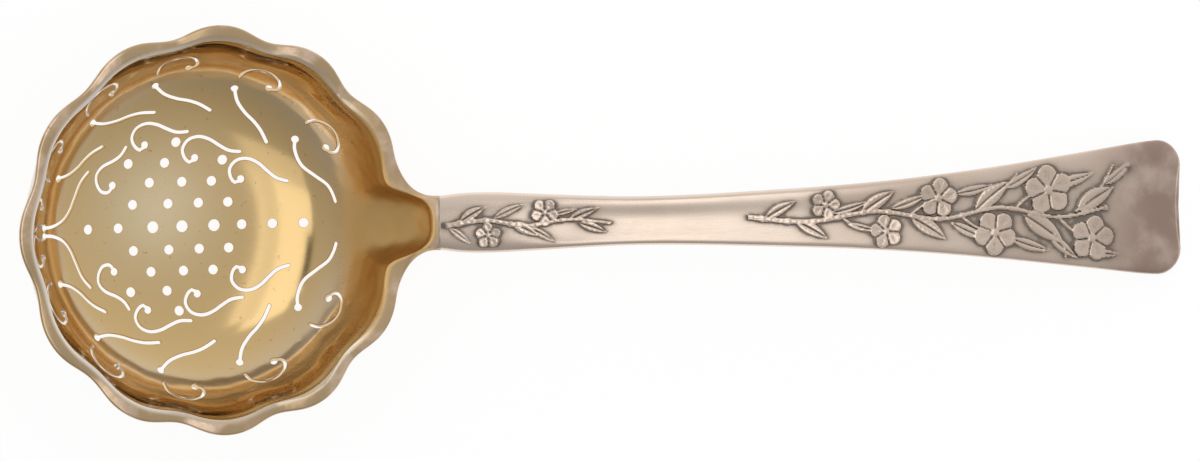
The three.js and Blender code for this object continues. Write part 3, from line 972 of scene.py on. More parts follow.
    def edge(self, rim: Rim, last: Array, handle: HandleForm) -> Array:
        """Turns the skin round the lip's edge, and on the neck round the handle's sides.

        Args:
            rim: The rim.
            last: The lip's last ring.
            handle: The handle's form.

        Returns:
            Rows of rings of points.
        """
        half_lip = self.form.lip_thickness / 2
        outward = self.form.turned(rim.outward)
        steps = np.linspace(0, math.pi / 2, self.edge_rows + 1)[1:, None]
        inner = 1 - handle.back_rounding
        neck_turn = math.acos(inner) * (1 - steps * 2 / math.pi)
        neck_reach = rim.nose * (np.cos(neck_turn) - inner) / (1 - inner)
        reach = lerp(half_lip * np.sin(steps), neck_reach, rim.nearness)
        half = handle.half_thickness(last[:, 0])
        middle = lerp(last[:, 2] - half_lip, handle.spine(last[:, 0]), rim.nearness)
        shoulder = (1 - np.cos(neck_turn) ** handle.neck_power) ** handle.crown
        upper = last + reach[..., None] * outward
        upper[..., 2] = middle + lerp(half_lip * np.cos(steps), half * shoulder, rim.nearness)
        lower = last + (rim.reach * np.cos(steps))[..., None] * outward
        lower[..., 2] = middle - lerp(half_lip, half, rim.nearness) * np.sin(steps)
        return np.concatenate([upper, lower])

    def back(self, rim: Rim, foot: Array) -> Array:
        """Runs the skin from under the edge down the bowl's back.

        Args:
            rim: The rim.
            foot: The edge's last ring.

        Returns:
            Rows of rings of points, to the back's middle.
        """
        form = self.form
        walls = (form.side_wall, form.bottom_wall)
        wall_t = form.wall_parameter(lerp(self.wall_start, self.neck_wall_start, rim.nearness))
        wall_top = self.world(form.hollow(rim.angle, wall_t, *walls))
        turn = np.linspace(math.pi / 2, 0, self.under_rows + 1)[1:, None]
        under = wall_top + (1 - np.cos(turn))[..., None] * (foot - wall_top)
        under[..., 2] = wall_top[:, 2] + np.sin(turn) * (foot - wall_top)[:, 2]
        shares = np.linspace(1, 0, self.back_rows + 1)[1:, None] ** self.back_crowding
        return np.concatenate([under, self.world(form.hollow(rim.angle, wall_t * shares, *walls))])

    def skin(self, handle: HandleForm) -> Array:
        """Lays out the whole skin, from the middle of the hollow over the lip to the middle of the back.

        Args:
            handle: The handle's form, which the neck runs into.

        Returns:
            Rows of rings of points, in millimetres.
        """
        rim = self.rim(handle)
        lip = self.lip(rim, handle)
        edge = self.edge(rim, lip[-1], handle)
        return np.concatenate([self.hollow(rim.angle), lip, edge, self.back(rim, edge[-1])])

    def surface_at(self, flat: Array) -> tuple[Array, Array]:
        """The hollow's points and normals at places of the hollow spread flat.

        Args:
            flat: Places, one row each.

        Returns:
            Points on the table and the normals there.
        """
        form = self.form
        table_t, table_run = form.arc_table()
        angle = np.arctan2(flat[:, 1], flat[:, 0])
        step = self.measuring_step
        t = np.maximum(np.interp(np.hypot(*flat.T), table_run, table_t), step)
        along = form.hollow(angle, t + step) - form.hollow(angle, t - step)
        across = form.hollow(angle + step, t) - form.hollow(angle - step, t)
        return self.world(form.hollow(angle, t)), form.turned(unit(np.cross(along, across)))

    def saws(self) -> Piece:
        """The tool that pierces the hollow: a plug for each hole, flared at its mouth and filed wider behind.

        Returns:
            All the plugs, as one object.
        """
        levels = self.piercing.levels(self.form.side_wall)
        stacks = [self.piercing.outlines(widen) for _, widen in levels]
        points, faces = [], []
        for outlines in zip(*stacks):
            base = len(points)
            count = len(outlines[0])
            for (height, _), outline in zip(levels, outlines):
                place, normal = self.surface_at(outline)
                points.extend(((place + height * normal) * MM).tolist())
            for level in range(len(levels) - 1):
                low = base + level * count
                for k in range(count):
                    near, far = low + k, low + (k + 1) % count
                    faces.append((near, near + count, far + count, far))
            faces.append(tuple(base + k for k in range(count)))
            faces.append(tuple(base + (len(levels) - 1) * count + k for k in reversed(range(count))))
        mesh = bpy.data.meshes.new("saws")
        mesh.from_pydata(points, [], faces)
        tool = bpy.data.objects.new("saws", mesh)
        bpy.context.collection.objects.link(tool)
        activate(tool)
        bpy.ops.object.mode_set(mode="EDIT")
        bpy.ops.mesh.select_all(action="SELECT")
        bpy.ops.mesh.normals_make_consistent(inside=False)
        bpy.ops.object.mode_set(mode="OBJECT")
        return tool

    def pierce(self, piece: Piece) -> None:
        """Saws the holes out of the skin and keeps the hollow's true curvature up to their edges.

        Args:
            piece: The bowl.
        """
        points = positions(piece) * MM
        known = {tuple(row) for row in np.rint(points * SAME_PLACES).astype(int).tolist()}
        normals = np.empty(len(points) * 3)
        piece.data.vertices.foreach_get("normal", normals)
        normals = normals.reshape(-1, 3)
        faces = [tuple(face.vertices) for face in piece.data.polygons]
        tree = BVHTree.FromPolygons(points.tolist(), faces)
        tool = self.saws()
        cut = piece.modifiers.new("pierce", "BOOLEAN")
        cut.operation, cut.solver, cut.object = "DIFFERENCE", "MANIFOLD", tool
        activate(piece)
        bpy.ops.object.modifier_apply(modifier=cut.name)
        bpy.data.objects.remove(tool)
        smooth(piece)
        self.keep_curvature(piece, tree, known, faces, points, normals)

    def keep_curvature(
        self, piece: Piece, tree: BVHTree, known: set, faces: list, points: Array, normals: Array
    ) -> None:
        """Gives corners beside the holes the normals of the skin before it was cut.

        Args:
            piece: The pierced bowl.
            tree: The skin before the cut.
            known: The skin's own vertices, rounded.
            faces: The skin's faces.
            points: The skin's vertices, in metres.
            normals: The skin's normals at its vertices.
        """
        mesh = piece.data
        places = positions(piece) * MM
        rounded = np.rint(places * SAME_PLACES).astype(int).tolist()
        fresh = np.array([tuple(row) not in known for row in rounded])
        wanted = np.zeros((len(mesh.loops), 3))
        for face in mesh.polygons:
            if not any(fresh[v] for v in face.vertices):
                continue
            for loop in face.loop_indices:
                vertex = mesh.loops[loop].vertex_index
                hit, facing, index, _ = tree.find_nearest(places[vertex])
                if hit is None or face.normal.dot(facing) < self.same_facing:
                    continue
                corners = list(faces[index])
                away = np.linalg.norm(points[corners] - np.array(hit), axis=1) + TINY
                wanted[loop] = unit((normals[corners] / away[:, None] ** 2).sum(axis=0))
        mesh.normals_split_custom_set(wanted.tolist())

    def build(self, handle: HandleForm) -> Piece:
        """Makes the bowl.

        Args:
            handle: The handle's form, which the neck runs into.

        Returns:
            The finished mesh, painted for its gilding and for the shade and light painted on its hollow.
        """
        piece = wrapped_grid(self.name, self.skin(handle))
        trim(piece, handle.joint)
        smooth(piece)
        self.pierce(piece)
        self.dress(piece)
        return piece

    def dress(self, piece: Piece) -> None:
        """Paints the bowl where its gilding differs, and where shade and light are painted on its hollow.

        Args:
            piece: The finished bowl.
        """
        own = self.form.unturned(positions(piece) - self.place)
        angle = np.arctan2(own[:, 1], own[:, 0] / self.form.rim_oval)
        radius = np.hypot(own[:, 0] / self.form.rim_oval, own[:, 1])
        crease = self.form.crease(angle, 1.0)
        high = smoothstep(own[:, 2], *self.lip_height)
        height = 1 - np.clip(-own[:, 2] / self.form.depth, 0, 1)
        # Painted light: the upper wall towards the tip is painted paler.
        thin = (1 - smoothstep(own[:, 0], *self.tip_light_run)) * smoothstep(height, *self.tip_light_height)
        away = np.hypot(*(own[:, :2] - self.rubbed_middle).T) / self.rubbed_radius
        paint(piece, Coat.LIP, smoothstep(radius - crease, *self.lip_run) * high)
        # Painted reflection and shade: the finish paints the wall ring paler and streaks it brown.
        paint(piece, Coat.WALL, smoothstep(height, *self.wall_height))
        # Painted shade: the finish makes the throat towards the neck darker, and rougher.
        paint(piece, Coat.THROAT, smoothstep(own[:, 0], *self.throat_run))
        paint(piece, Coat.THIN, thin)
        paint(piece, Coat.RUBBED, np.exp(-(away**2)))


# Struck relief


@dataclass(frozen=True)
class Blossom:
    """An open flower with round petals, veins and a ring of stamens."""

    x: float
    y: float
    radius: float
    turn: float
    height: float = 0.5
    petals: int = 5
    edge: float = 0.22
    notch: float = 0.26
    rim: float = 0.5
    cup_power: float = 1.5
    fold: float = 0.45
    seam_depth: float = 0.55
    seam_width: float = 0.16
    seam_start: Point = (0.1, 0.35)
    veins: tuple[float, ...] = (-0.55, 0.0, 0.55)
    vein_depth: float = 0.13
    vein_width: float = 0.11
    vein_start: Point = (0.3, 0.45)
    vein_end: Point = (0.75, 0.9)
    eye_radius: float = 0.2
    eye_height: float = 0.35
    ring_radius: float = 0.42
    ring_width: float = 0.2
    bead_width: float = 0.22
    bead_power: float = 0.7
    stamen_height: float = 0.3
    highest: float = 1.4

    def relief(self, x: Array, y: Array) -> Array:
        """Height over the ground at places on the plan.

        Args:
            x: Places along X.
            y: Places across.

        Returns:
            Heights, 0 outside the flower.
        """
        dx, dy = x - self.x, y - self.y
        far = np.hypot(dx, dy)
        angle = np.arctan2(dy, dx) - math.radians(self.turn)
        wave = np.cos(self.petals * angle / 2)
        reach = self.radius * (1 - self.notch + self.notch * np.abs(wave))
        inside = smoothstep(reach - far, 0, self.edge)
        share = np.clip(far / reach, 0, 1)
        phase = np.mod(self.petals * angle + math.pi, 2 * math.pi) - math.pi
        seam = far * np.abs(np.sin((math.pi - np.abs(phase)) / self.petals))
        crease = 1 - self.fold + self.fold * np.cos(phase / 2) ** 2
        cup = 1 - self.rim + self.rim * share**self.cup_power * crease
        veined = smoothstep(share, *self.vein_start) * (1 - smoothstep(share, *self.vein_end))
        veins = np.zeros_like(far)
        for offset in self.veins:
            beside = far * np.sin((phase - offset) / self.petals)
            veins += np.exp(-((beside / self.vein_width) ** 2)) * veined
        seams = np.exp(-((seam / self.seam_width) ** 2)) * smoothstep(share, *self.seam_start)
        body = cup - self.seam_depth * seams - self.vein_depth * veins
        eye = np.sqrt(np.clip(1 - (far / (self.eye_radius * self.radius)) ** 2, 0, 1))
        middle = self.ring_radius * self.radius
        count = 2 * self.petals
        beads = np.abs(np.sin(count * angle / 2)) ** self.bead_power * middle * math.pi / count
        ringed = np.exp(-(((far - middle) / self.ring_width) ** 2))
        stamens = ringed * np.exp(-((beads / self.bead_width) ** 2))
        body = body + self.eye_height * eye + self.stamen_height * stamens
        return self.height * inside * np.clip(body, 0, self.highest)


@dataclass(frozen=True)
class Leaf:
    """A pointed leaf with a midrib and side veins."""

    x: float
    y: float
    length: float
    width: float
    turn: float
    bend: float = 0.1
    height: float = 0.4
    edge: float = 0.2
    belly: float = 0.8
    bluntness: float = 0.85
    fold: float = 0.38
    rib_depth: float = 0.42
    rib_width: float = 0.13
    rib_end: Point = (0.85, 1.0)
    vein_depth: float = 0.13
    vein_pitch: float = 1.1
    vein_slant: float = 1.3
    vein_sharpness: int = 4
    vein_start: Point = (0.12, 0.4)
    least_half: float = 0.05

    def relief(self, x: Array, y: Array) -> Array:
        """Height over the ground at places on the plan.

        Args:
            x: Places along X.
            y: Places across.

        Returns:
            Heights, 0 outside the leaf.
        """
        c, s = math.cos(math.radians(self.turn)), math.sin(math.radians(self.turn))
        along = ((x - self.x) * c + (y - self.y) * s) / self.length
        share = np.clip(along, 0, 1)
        across = (y - self.y) * c - (x - self.x) * s - self.bend * self.length * share * (1 - share)
        half = self.width / 2 * np.sin(math.pi * share**self.belly) ** self.bluntness
        inside = smoothstep(half - np.abs(across), 0, self.edge) * ((along > 0) & (along < 1))
        side = np.clip(np.abs(across) / np.maximum(half, self.least_half), 0, 1)
        body = 1 - self.fold + self.fold * np.sin(math.pi * side)
        rib = np.exp(-((across / self.rib_width) ** 2)) * (1 - smoothstep(share, *self.rib_end))
        turns = along * self.length / self.vein_pitch - np.abs(across) / self.vein_slant
        veins = np.maximum(np.cos(2 * math.pi * turns), 0) ** self.vein_sharpness
        body = body - self.rib_depth * rib - self.vein_depth * veins * smoothstep(side, *self.vein_start)
        return self.height * inside * np.clip(body, 0, 1)


@dataclass(frozen=True)
class Twig:
    """A knotty twig along a curve."""

    points: tuple[Point, ...]
    half_width: float = 0.7
    height: float = 0.42
    knots: float = 5.0
    samples: int = 160
    taper: float = 0.35
    slimness: float = 0.85
    knot_swell: float = 0.3
    knot_height: float = 0.12
    knot_spread: float = 0.012
    grain: Point = (0.08, 17.0)
    grain_sway: Point = (2.2, 1.3)
    rings: Point = (0.07, 5.1)
    skin: float = 0.25
    edge: float = 0.3
    end_reach: float = 0.4

    def relief(self, x: Array, y: Array) -> Array:
        """Height over the ground at places on the plan.

        Args:
            x: Places along X.
            y: Places across.

        Returns:
            Heights, 0 outside the twig.
        """
        line = spline(self.points, self.samples)
        tangent = unit(np.gradient(line, axis=0))
        reach = 2 * self.half_width
        low, high = line.min(axis=0) - reach, line.max(axis=0) + reach
        near = (x > low[0]) & (x < high[0]) & (y > low[1]) & (y < high[1])
        height = np.zeros_like(x)
        if not near.any():
            return height
        offset = np.stack([x[near], y[near]], axis=-1)[:, None] - line
        index = np.argmin((offset**2).sum(axis=-1), axis=1)
        nearest = offset[np.arange(len(index)), index]
        across = nearest[:, 1] * tangent[index, 0] - nearest[:, 0] * tangent[index, 1]
        beyond = np.abs((nearest * tangent[index]).sum(axis=1))
        share_run = index / len(line)
        run = share_run * np.linalg.norm(np.diff(line, axis=0), axis=1).sum()
        knot = np.exp(-((np.mod(run, self.knots) / self.knots - 0.5) ** 2) / self.knot_spread)
        half = self.half_width * (1 - self.taper * share_run) * (self.slimness + self.knot_swell * knot)
        share = np.abs(across) / half
        sway, sway_pitch = self.grain_sway
        grain = self.grain[0] * np.sin(across * self.grain[1] + sway * np.sin(run * sway_pitch))
        bark = grain + self.rings[0] * np.sin(run * self.rings[1])
        round_top = np.sqrt(np.clip(1 - share**2, 0, 1))
        inside = smoothstep(1 - share, 0, self.edge) * (beyond < self.end_reach)
        body = self.skin + (1 - self.skin + bark) * round_top + self.knot_height * knot
        height[near] = self.height * inside * body
        return height


@dataclass
class Handle:
    """The die-struck handle with its flowering branch in relief."""

    form: HandleForm
    name: str = "handle_silver"
    front_columns: int = 112
    back_edge_steps: int = 6
    back_steps: int = 10
    fine_step: float = 0.22
    coarse_step: float = 0.7
    fine_runs: tuple[Point, ...] = ((1.0, 37.0), (56.0, 136.0))
    end_rows: int = 26
    end_rim_share: float = 0.93
    even_share: float = 0.65
    relief_margin: Point = (0.05, 0.7)
    recess_blurs: tuple[Point, ...] = ((2.2, 3.2), (5.0, 1.6))
    full_relief: float = 0.5
    tail: Point = (24.0, 5.0)
    sharp: float = 50.0

    def places(self) -> Array:
        """Spaces the sections along the handle.

        Returns:
            Their places along X, close together where there is relief and at the rounded end.
        """
        form = self.form
        length = form.end - form.start
        runs, x = [], 0.0
        while x < length - form.end_corner - self.fine_step / 2:
            runs.append(x)
            fine = any(low <= x < high for low, high in self.fine_runs)
            x += self.fine_step if fine else self.coarse_step
        turn = np.linspace(0, math.pi / 2, self.end_rows)
        runs += list(length - form.end_corner * (1 - np.sin(turn)))
        return form.start + np.array(runs)

    def across(self) -> Array:
        """Spaces the points of a section across its front.

        Returns:
            Shares of the half-width, from one side to the other.
        """
        even = np.linspace(1, -1, self.front_columns + 1)
        round_share = np.cos(np.linspace(0, math.pi, self.front_columns + 1))
        return lerp(round_share, even, self.even_share)

    def sprays(self) -> list[Blossom | Leaf | Twig]:
        """The flowering branch: a sprig on the neck and a spray towards the end."""
        form = self.form
        return [*self.sprig(form.joint), *self.spray(form.end)]

    @staticmethod
    def sprig(joint: float) -> list[Blossom | Leaf | Twig]:
        """The small sprig on the neck.

        Args:
            joint: Where the handle starts, along X.

        Returns:
            Its twig, leaves and flowers.
        """
        twig = ((1.5, -0.5), (9, 0.5), (17, -0.6), (25, 0.5), (33, -0.3))
        items: list[Blossom | Leaf | Twig] = [Twig(tuple((joint + at, y) for at, y in twig))]
        leaves = ((4, 0.2, 6, 2.2, 30), (14, 0, 6, 2.2, -27), (25, 0.3, 6.5, 2, 22), (27, -0.2, 6, 2, -20))
        items += [Leaf(joint + at, y, length, width, turn) for at, y, length, width, turn in leaves]
        slim = (
            (1.8, -0.8, 5.5, 1.5, -38), (10.5, 0.8, 7, 1.7, 24), (17, -0.8, 6.5, 1.6, -30),
            (22, 1.4, 5, 1.3, 12),
        )
        for at, y, length, width, turn in slim:
            items.append(Leaf(joint + at, y, length, width, turn, height=0.32))
        flowers = ((9.5, -2.4, 2.6, 20), (20.5, 1.9, 2.8, 55))
        items += [Blossom(joint + at, y, radius, turn) for at, y, radius, turn in flowers]
        return items

    @staticmethod
    def spray(end: float) -> list[Blossom | Leaf | Twig]:
        """The spray that widens with the handle.

        Args:
            end: Where the handle ends, along X. Places are measured back from it.

        Returns:
            Its twigs, leaves and flowers.
        """
        twig = ((88, 0.3), (76, -0.8), (63, 0.9), (50, -0.9), (38, 1), (26, -1.2), (16, 0.4))
        shoots = (
            ((70, 0), (66, -2.5), (61, -3)),
            ((56, 0.2), (53, 2.2), (50.5, 3.2)),
            ((46, -0.4), (43, -2.6), (39, -3.9)),
            ((35, 0.6), (32, 3), (28, 4.2)),
            ((26, -1.2), (23, -4), (19, -5.6)),
            ((42, 0.5), (37, 4.6), (34.5, 7.4)),
            ((31, 0), (25.5, -6), (24.5, -9.2)),
            ((22, 0), (17, 4.5), (14.5, 8.5)),
        )
        items: list[Blossom | Leaf | Twig] = [Twig(tuple((end - at, y) for at, y in twig), half_width=0.75)]
        for shoot in shoots:
            line = tuple((end - at, y) for at, y in shoot)
            items.append(Twig(line, half_width=0.42, height=0.34, knots=3.4))
        leaves = (
            (85, 0, 7, 2.4, 28), (79, -0.6, 7.5, 2.6, -30), (66, 0.6, 8, 3, 32), (56, -0.4, 8.5, 3.2, -33),
            (43, 0.6, 9, 3.6, 38), (33, -0.6, 10, 4, -36), (22, 0, 9, 3.8, 30),
        )
        items += [Leaf(end - at, y, length, width, turn) for at, y, length, width, turn in leaves]
        slim = (
            (72, 0.8, 8, 1.8, 16), (69, -1.2, 7, 1.6, -14), (60, 1.4, 8, 2, 20), (48, -1.6, 9, 2.2, -24),
            (47, 4, 8, 2, 12), (36, -5, 9, 2.2, -18), (37, 4.8, 8, 2.1, 30), (28, -4.4, 8, 2.2, -40),
            (27, 5.2, 9, 2.3, 14), (16.5, 4.8, 7.5, 2, 38), (20, -8, 7, 1.9, -8),
        )
        for at, y, length, width, turn in slim:
            items.append(Leaf(end - at, y, length, width, turn, bend=-0.12, height=0.33))
        flowers = (
            (73, 2.4, 3, 0), (61, -3, 3.4, 30), (50.5, 3.2, 4, 10), (39, -3.9, 4.5, 50), (28, 4.2, 5, 25),
            (19, -5.6, 4.6, 5),
        )
        items += [Blossom(end - at, y, radius, turn) for at, y, radius, turn in flowers]
        return items

    @staticmethod
    def blurred(values: Array, cells: float) -> Array:
        """Spreads values over their neighbours.

        Args:
            values: Rows of values.
            cells: The width of the bell curve that spreads them.

        Returns:
            The spread values.
        """
        reach = int(3 * cells)
        bell = np.exp(-((np.arange(-reach, reach + 1) / cells) ** 2) / 2)
        bell /= bell.sum()
        for axis in (0, 1):
            values = np.apply_along_axis(lambda row: np.convolve(row, bell, mode="same"), axis, values)
        return values

    def sections(self) -> Array:
        """Lays out the plain handle, before it is struck.

        Returns:
            Rows of sections, each from side to side over the front and back under it.
        """
        form = self.form
        x = self.places()[:, None]
        front_share = self.across()
        back_across, back_down = form.back_line(self.back_edge_steps, self.back_steps)
        across = np.concatenate([front_share, back_across])
        back = np.broadcast_to(back_down, (len(x), len(back_down)))
        up = np.concatenate([form.crowned(x, front_share), back], axis=1)
        thin = np.sqrt(1 - np.clip(1 - (form.end - x) / form.end_rim, 0, self.end_rim_share) ** 2)
        rings = form.section(x, across, up * thin)
        pull = (1 - np.clip((form.end - x) / form.end_corner, 0, 1)) * form.end_hollow
        inner = np.clip(np.abs(rings[..., 1]) / (form.end_half_width - form.end_corner), 0, 1)
        rings[..., 0] -= pull * (1 - inner**2)
        return rings

    def strike(self, front: Array) -> Array:
        """Raises the relief on the front.

        Args:
            front: Rows of the front's points, which are moved.

        Returns:
            The relief's height at each of them.
        """
        x, y = front[..., 0].copy(), front[..., 1].copy()
        height = np.zeros_like(x)
        for item in self.sprays():
            height = np.maximum(height, item.relief(x, y))
        height *= smoothstep(self.form.half_width(x) - np.abs(y), *self.relief_margin)
        normal = unit(np.cross(np.gradient(front, axis=1), np.gradient(front, axis=0)))
        normal *= np.sign(normal[..., 2:3] + TINY)
        front += height[..., None] * normal
        return height

    def build(self) -> Piece:
        """Makes the handle.

        Returns:
            The finished mesh, painted with its recesses and its raised parts.
        """
        rings = self.sections()
        front = slice(0, self.front_columns + 1)
        height = self.strike(rings[:, front])
        recess, raised = np.zeros(rings.shape[:2]), np.zeros(rings.shape[:2])
        raised[:, front] = height / self.full_relief
        for cells, amount in self.recess_blurs:
            recess[:, front] += amount * np.clip(self.blurred(height, cells) - height, 0, None)
        start, full = self.tail
        tail = smoothstep(rings[..., 0], self.form.end - start, self.form.end - full)
        coats = {Coat.RECESS: recess, Coat.RAISED: raised, Coat.TAIL: tail}
        coats = {coat: np.pad(values, ((1, 1), (0, 0)), mode="edge") for coat, values in coats.items()}
        piece = wrapped_grid(self.name, capped(rings), coats)
        smooth(piece, self.sharp)
        return piece


@dataclass
class SolderSeam:
    """The thin run of hard solder between the bowl's neck and the handle."""

    form: HandleForm
    name: str = "solder_seam_run"
    front_columns: int = 60
    back_edge_steps: int = 6
    back_steps: int = 10
    rows: int = 6
    bead: float = 0.03
    sharp: float = 60.0

    def build(self) -> Piece:
        """Makes the seam.

        Returns:
            The finished mesh, a little proud of both pieces.
        """
        form = self.form
        front = np.cos(np.linspace(0, math.pi, self.front_columns + 1))
        back_across, back_down = form.back_line(self.back_edge_steps, self.back_steps)
        across = np.concatenate([front, back_across])
        up = np.concatenate([form.crowned(form.joint, front), back_down])
        share = np.linspace(0, 1, self.rows + 1)[:, None]
        rings = form.section(lerp(form.joint, form.start, share), across, up)
        outward = unit(rings - rings.mean(axis=1, keepdims=True)) * (0, 1, 1)
        swell = self.bead * np.sin(math.pi * share)[..., None]
        piece = wrapped_grid(self.name, capped(rings + swell * outward))
        smooth(piece, self.sharp)
        return piece


# Finishes


def node(
    tree: Tree, kind: str, inputs: dict[str | int, object] | None = None, **settings: object
) -> bpy.types.Node:
    """Adds a node, sets it up and links it.

    Args:
        tree: The tree that gets the node.
        kind: The node's type.
        inputs: For each input, a value or the output to link.
        settings: The node's own settings.

    Returns:
        The node.
    """
    made = tree.nodes.new(kind)
    for key, value in settings.items():
        setattr(made, key, value)
    for key, value in (inputs or {}).items():
        if isinstance(value, Socket):
            tree.links.new(value, made.inputs[key])
        else:
            made.inputs[key].default_value = value
    return made


def maths(tree: Tree, operation: str, *values: object, clamp: bool = False) -> Socket:
    """Adds a sum, product or other operation on numbers and returns its output."""
    made = node(tree, "ShaderNodeMath", dict(enumerate(values)), operation=operation, use_clamp=clamp)
    return made.outputs[0]


def built_up(tree: Tree, start: object, *parts: tuple[object, float]) -> Socket:
    """Adds up parts, each with its weight.

    Args:
        tree: The tree that gets the nodes.
        start: What the parts are added to.
        parts: Each part's value and weight.

    Returns:
        The sum.
    """
    total = start
    for value, weight in parts:
        total = maths(tree, "MULTIPLY_ADD", value, weight, total)
    return total


def layered(tree: Tree, ground: Colour, layers: Iterable[tuple[Socket, Colour]]) -> Socket:
    """Lays colours over one another.

    Args:
        tree: The tree that gets the nodes.
        ground: The colour under all the others.
        layers: Each further colour's share and the colour, from the lowest up.

    Returns:
        The colour that is seen.
    """
    seen = ground
    for share, colour in layers:
        inputs = dict(zip(MIX_INPUTS, (share, seen, colour)))
        seen = node(tree, "ShaderNodeMix", inputs, data_type="RGBA").outputs[MIX_OUTPUT]
    return seen


def ramp(tree: Tree, value: Socket, low: float, high: float, start: float = 0, end: float = 1) -> Socket:
    """Maps a range of a value softly to another range.

    Args:
        tree: The tree that gets the node.
        value: The value.
        low: Where its range starts.
        high: Where its range ends.
        start: What the low end becomes.
        end: What the high end becomes.

    Returns:
        The mapped value.
    """
    inputs = {"Value": value, "From Min": low, "From Max": high, "To Min": start, "To Max": end}
    return node(tree, "ShaderNodeMapRange", inputs, interpolation_type="SMOOTHSTEP").outputs[0]


@dataclass(frozen=True)
class Cloud:
    """A cloudy pattern, by how fine it is and how broken up."""

    scale: float
    detail: float

    def pattern(self, tree: Tree, place: Socket) -> Socket:
        """Adds the pattern and returns its value."""
        inputs = {"Vector": place, "Scale": self.scale, "Detail": self.detail}
        return node(tree, "ShaderNodeTexNoise", inputs).outputs[0]


@dataclass(frozen=True)
class Patches(Cloud):
    """A cloudy pattern drawn out to patches: the range of it that counts, and what that becomes."""

    low: float
    high: float
    start: float = 0.0
    end: float = 1.0

    def mask(self, tree: Tree, place: Socket) -> Socket:
        """Adds the patches and returns their value."""
        return ramp(tree, self.pattern(tree, place), self.low, self.high, self.start, self.end)


def new_group(name: str, inputs: dict[str, tuple[str, object]], outputs: Iterable[str]) -> Tree:
    """Starts a shader node group.

    Args:
        name: The group's name.
        inputs: For each input, its socket type and its value.
        outputs: The names of its outputs, all numbers.

    Returns:
        The group, with its input and output nodes.
    """
    group = bpy.data.node_groups.new(name, "ShaderNodeTree")
    for key, (kind, value) in inputs.items():
        socket = group.interface.new_socket(key, in_out="INPUT", socket_type=kind)
        if value is not None:
            socket.default_value = value
    for key in outputs:
        group.interface.new_socket(key, in_out="OUTPUT", socket_type="NodeSocketFloat")
    group.nodes.new("NodeGroupInput")
    group.nodes.new("NodeGroupOutput")
    return group


@dataclass(frozen=True)
class Scratches:
    """Fine scratches in one direction: their turn, how far they are drawn out and how fine they are."""

    turn: float
    stretch: float
    lines: Patches


@dataclass
class Effects:
    """The effects that the finishes share, as shader node groups built once."""

    scratches: tuple[Scratches, ...] = (
        Scratches(0.35, 0.035, Patches(scale=5200, detail=1, low=0.56, high=0.7)),
        Scratches(-0.9, 0.05, Patches(scale=4100, detail=1, low=0.56, high=0.7)),
        Scratches(1.4, 0.08, Patches(scale=2600, detail=1, low=0.56, high=0.7)),
    )
    scratch_flatness: float = 0.4
    scratch_height: float = 0.02
    scratch_haze: float = 0.35
    dents: Cloud = Cloud(scale=130, detail=1.5)
    haze: Cloud = Cloud(scale=420, detail=4)
    haze_share: float = 0.6
    polished: Patches = Patches(scale=700, detail=3, low=0.25, high=0.7, start=0.6, end=1.15)
    bloom: Patches = Patches(scale=38, detail=4, low=0.35, high=0.75)
    wear: Tree = field(init=False)
    tarnish: Tree = field(init=False)

    def __post_init__(self) -> None:
        """Builds the groups."""
        self.wear = self.wear_group()
        self.tarnish = self.tarnish_group()

    def wear_group(self) -> Tree:
        """Fine scratches in three directions and soft dents from years of use.

        Returns:
            The group, which gives a height and a haze.
        """
        inputs = {
            "Place": ("NodeSocketVector", None),
            "Scratches": ("NodeSocketFloat", 1.0),
            "Dents": ("NodeSocketFloat", 1.0),
        }
        group = new_group("hand_wear", inputs, ("Height", "Haze"))
        place, scratches, dents = group.nodes["Group Input"].outputs[:3]
        total = 0.0
        for way in self.scratches:
            scale = (way.stretch, 1, self.scratch_flatness)
            inputs = {"Vector": place, "Rotation": (0, 0, way.turn), "Scale": scale}
            turned = node(group, "ShaderNodeMapping", inputs).outputs[0]
            total = maths(group, "ADD", way.lines.mask(group, turned), total)
        lines = maths(group, "MULTIPLY", total, scratches)
        soft = maths(group, "MULTIPLY", self.dents.pattern(group, place), dents)
        cloud = maths(group, "MULTIPLY", self.haze.pattern(group, place), self.haze_share)
        out = group.nodes["Group Output"]
        group.links.new(built_up(group, soft, (lines, self.scratch_height)), out.inputs["Height"])
        group.links.new(built_up(group, cloud, (lines, self.scratch_haze)), out.inputs["Haze"])
        return group

    def tarnish_group(self) -> Tree:
        """Dark oxide that gathers in recesses, broken up by polishing.

        Returns:
            The group, which gives the oxide's mask and a wide, faint bloom.
        """
        inputs = {
            "Place": ("NodeSocketVector", None),
            "Recess": ("NodeSocketFloat", 0.0),
            "Amount": ("NodeSocketFloat", 1.0),
        }
        group = new_group("tarnish", inputs, ("Mask", "Bloom"))
        place, recess, amount = group.nodes["Group Input"].outputs[:3]
        left = maths(group, "MULTIPLY", recess, self.polished.mask(group, place))
        mask = maths(group, "MULTIPLY", left, amount, clamp=True)
        out = group.nodes["Group Output"]
        group.links.new(mask, out.inputs["Mask"])
        group.links.new(self.bloom.mask(group, place), out.inputs["Bloom"])
        return group


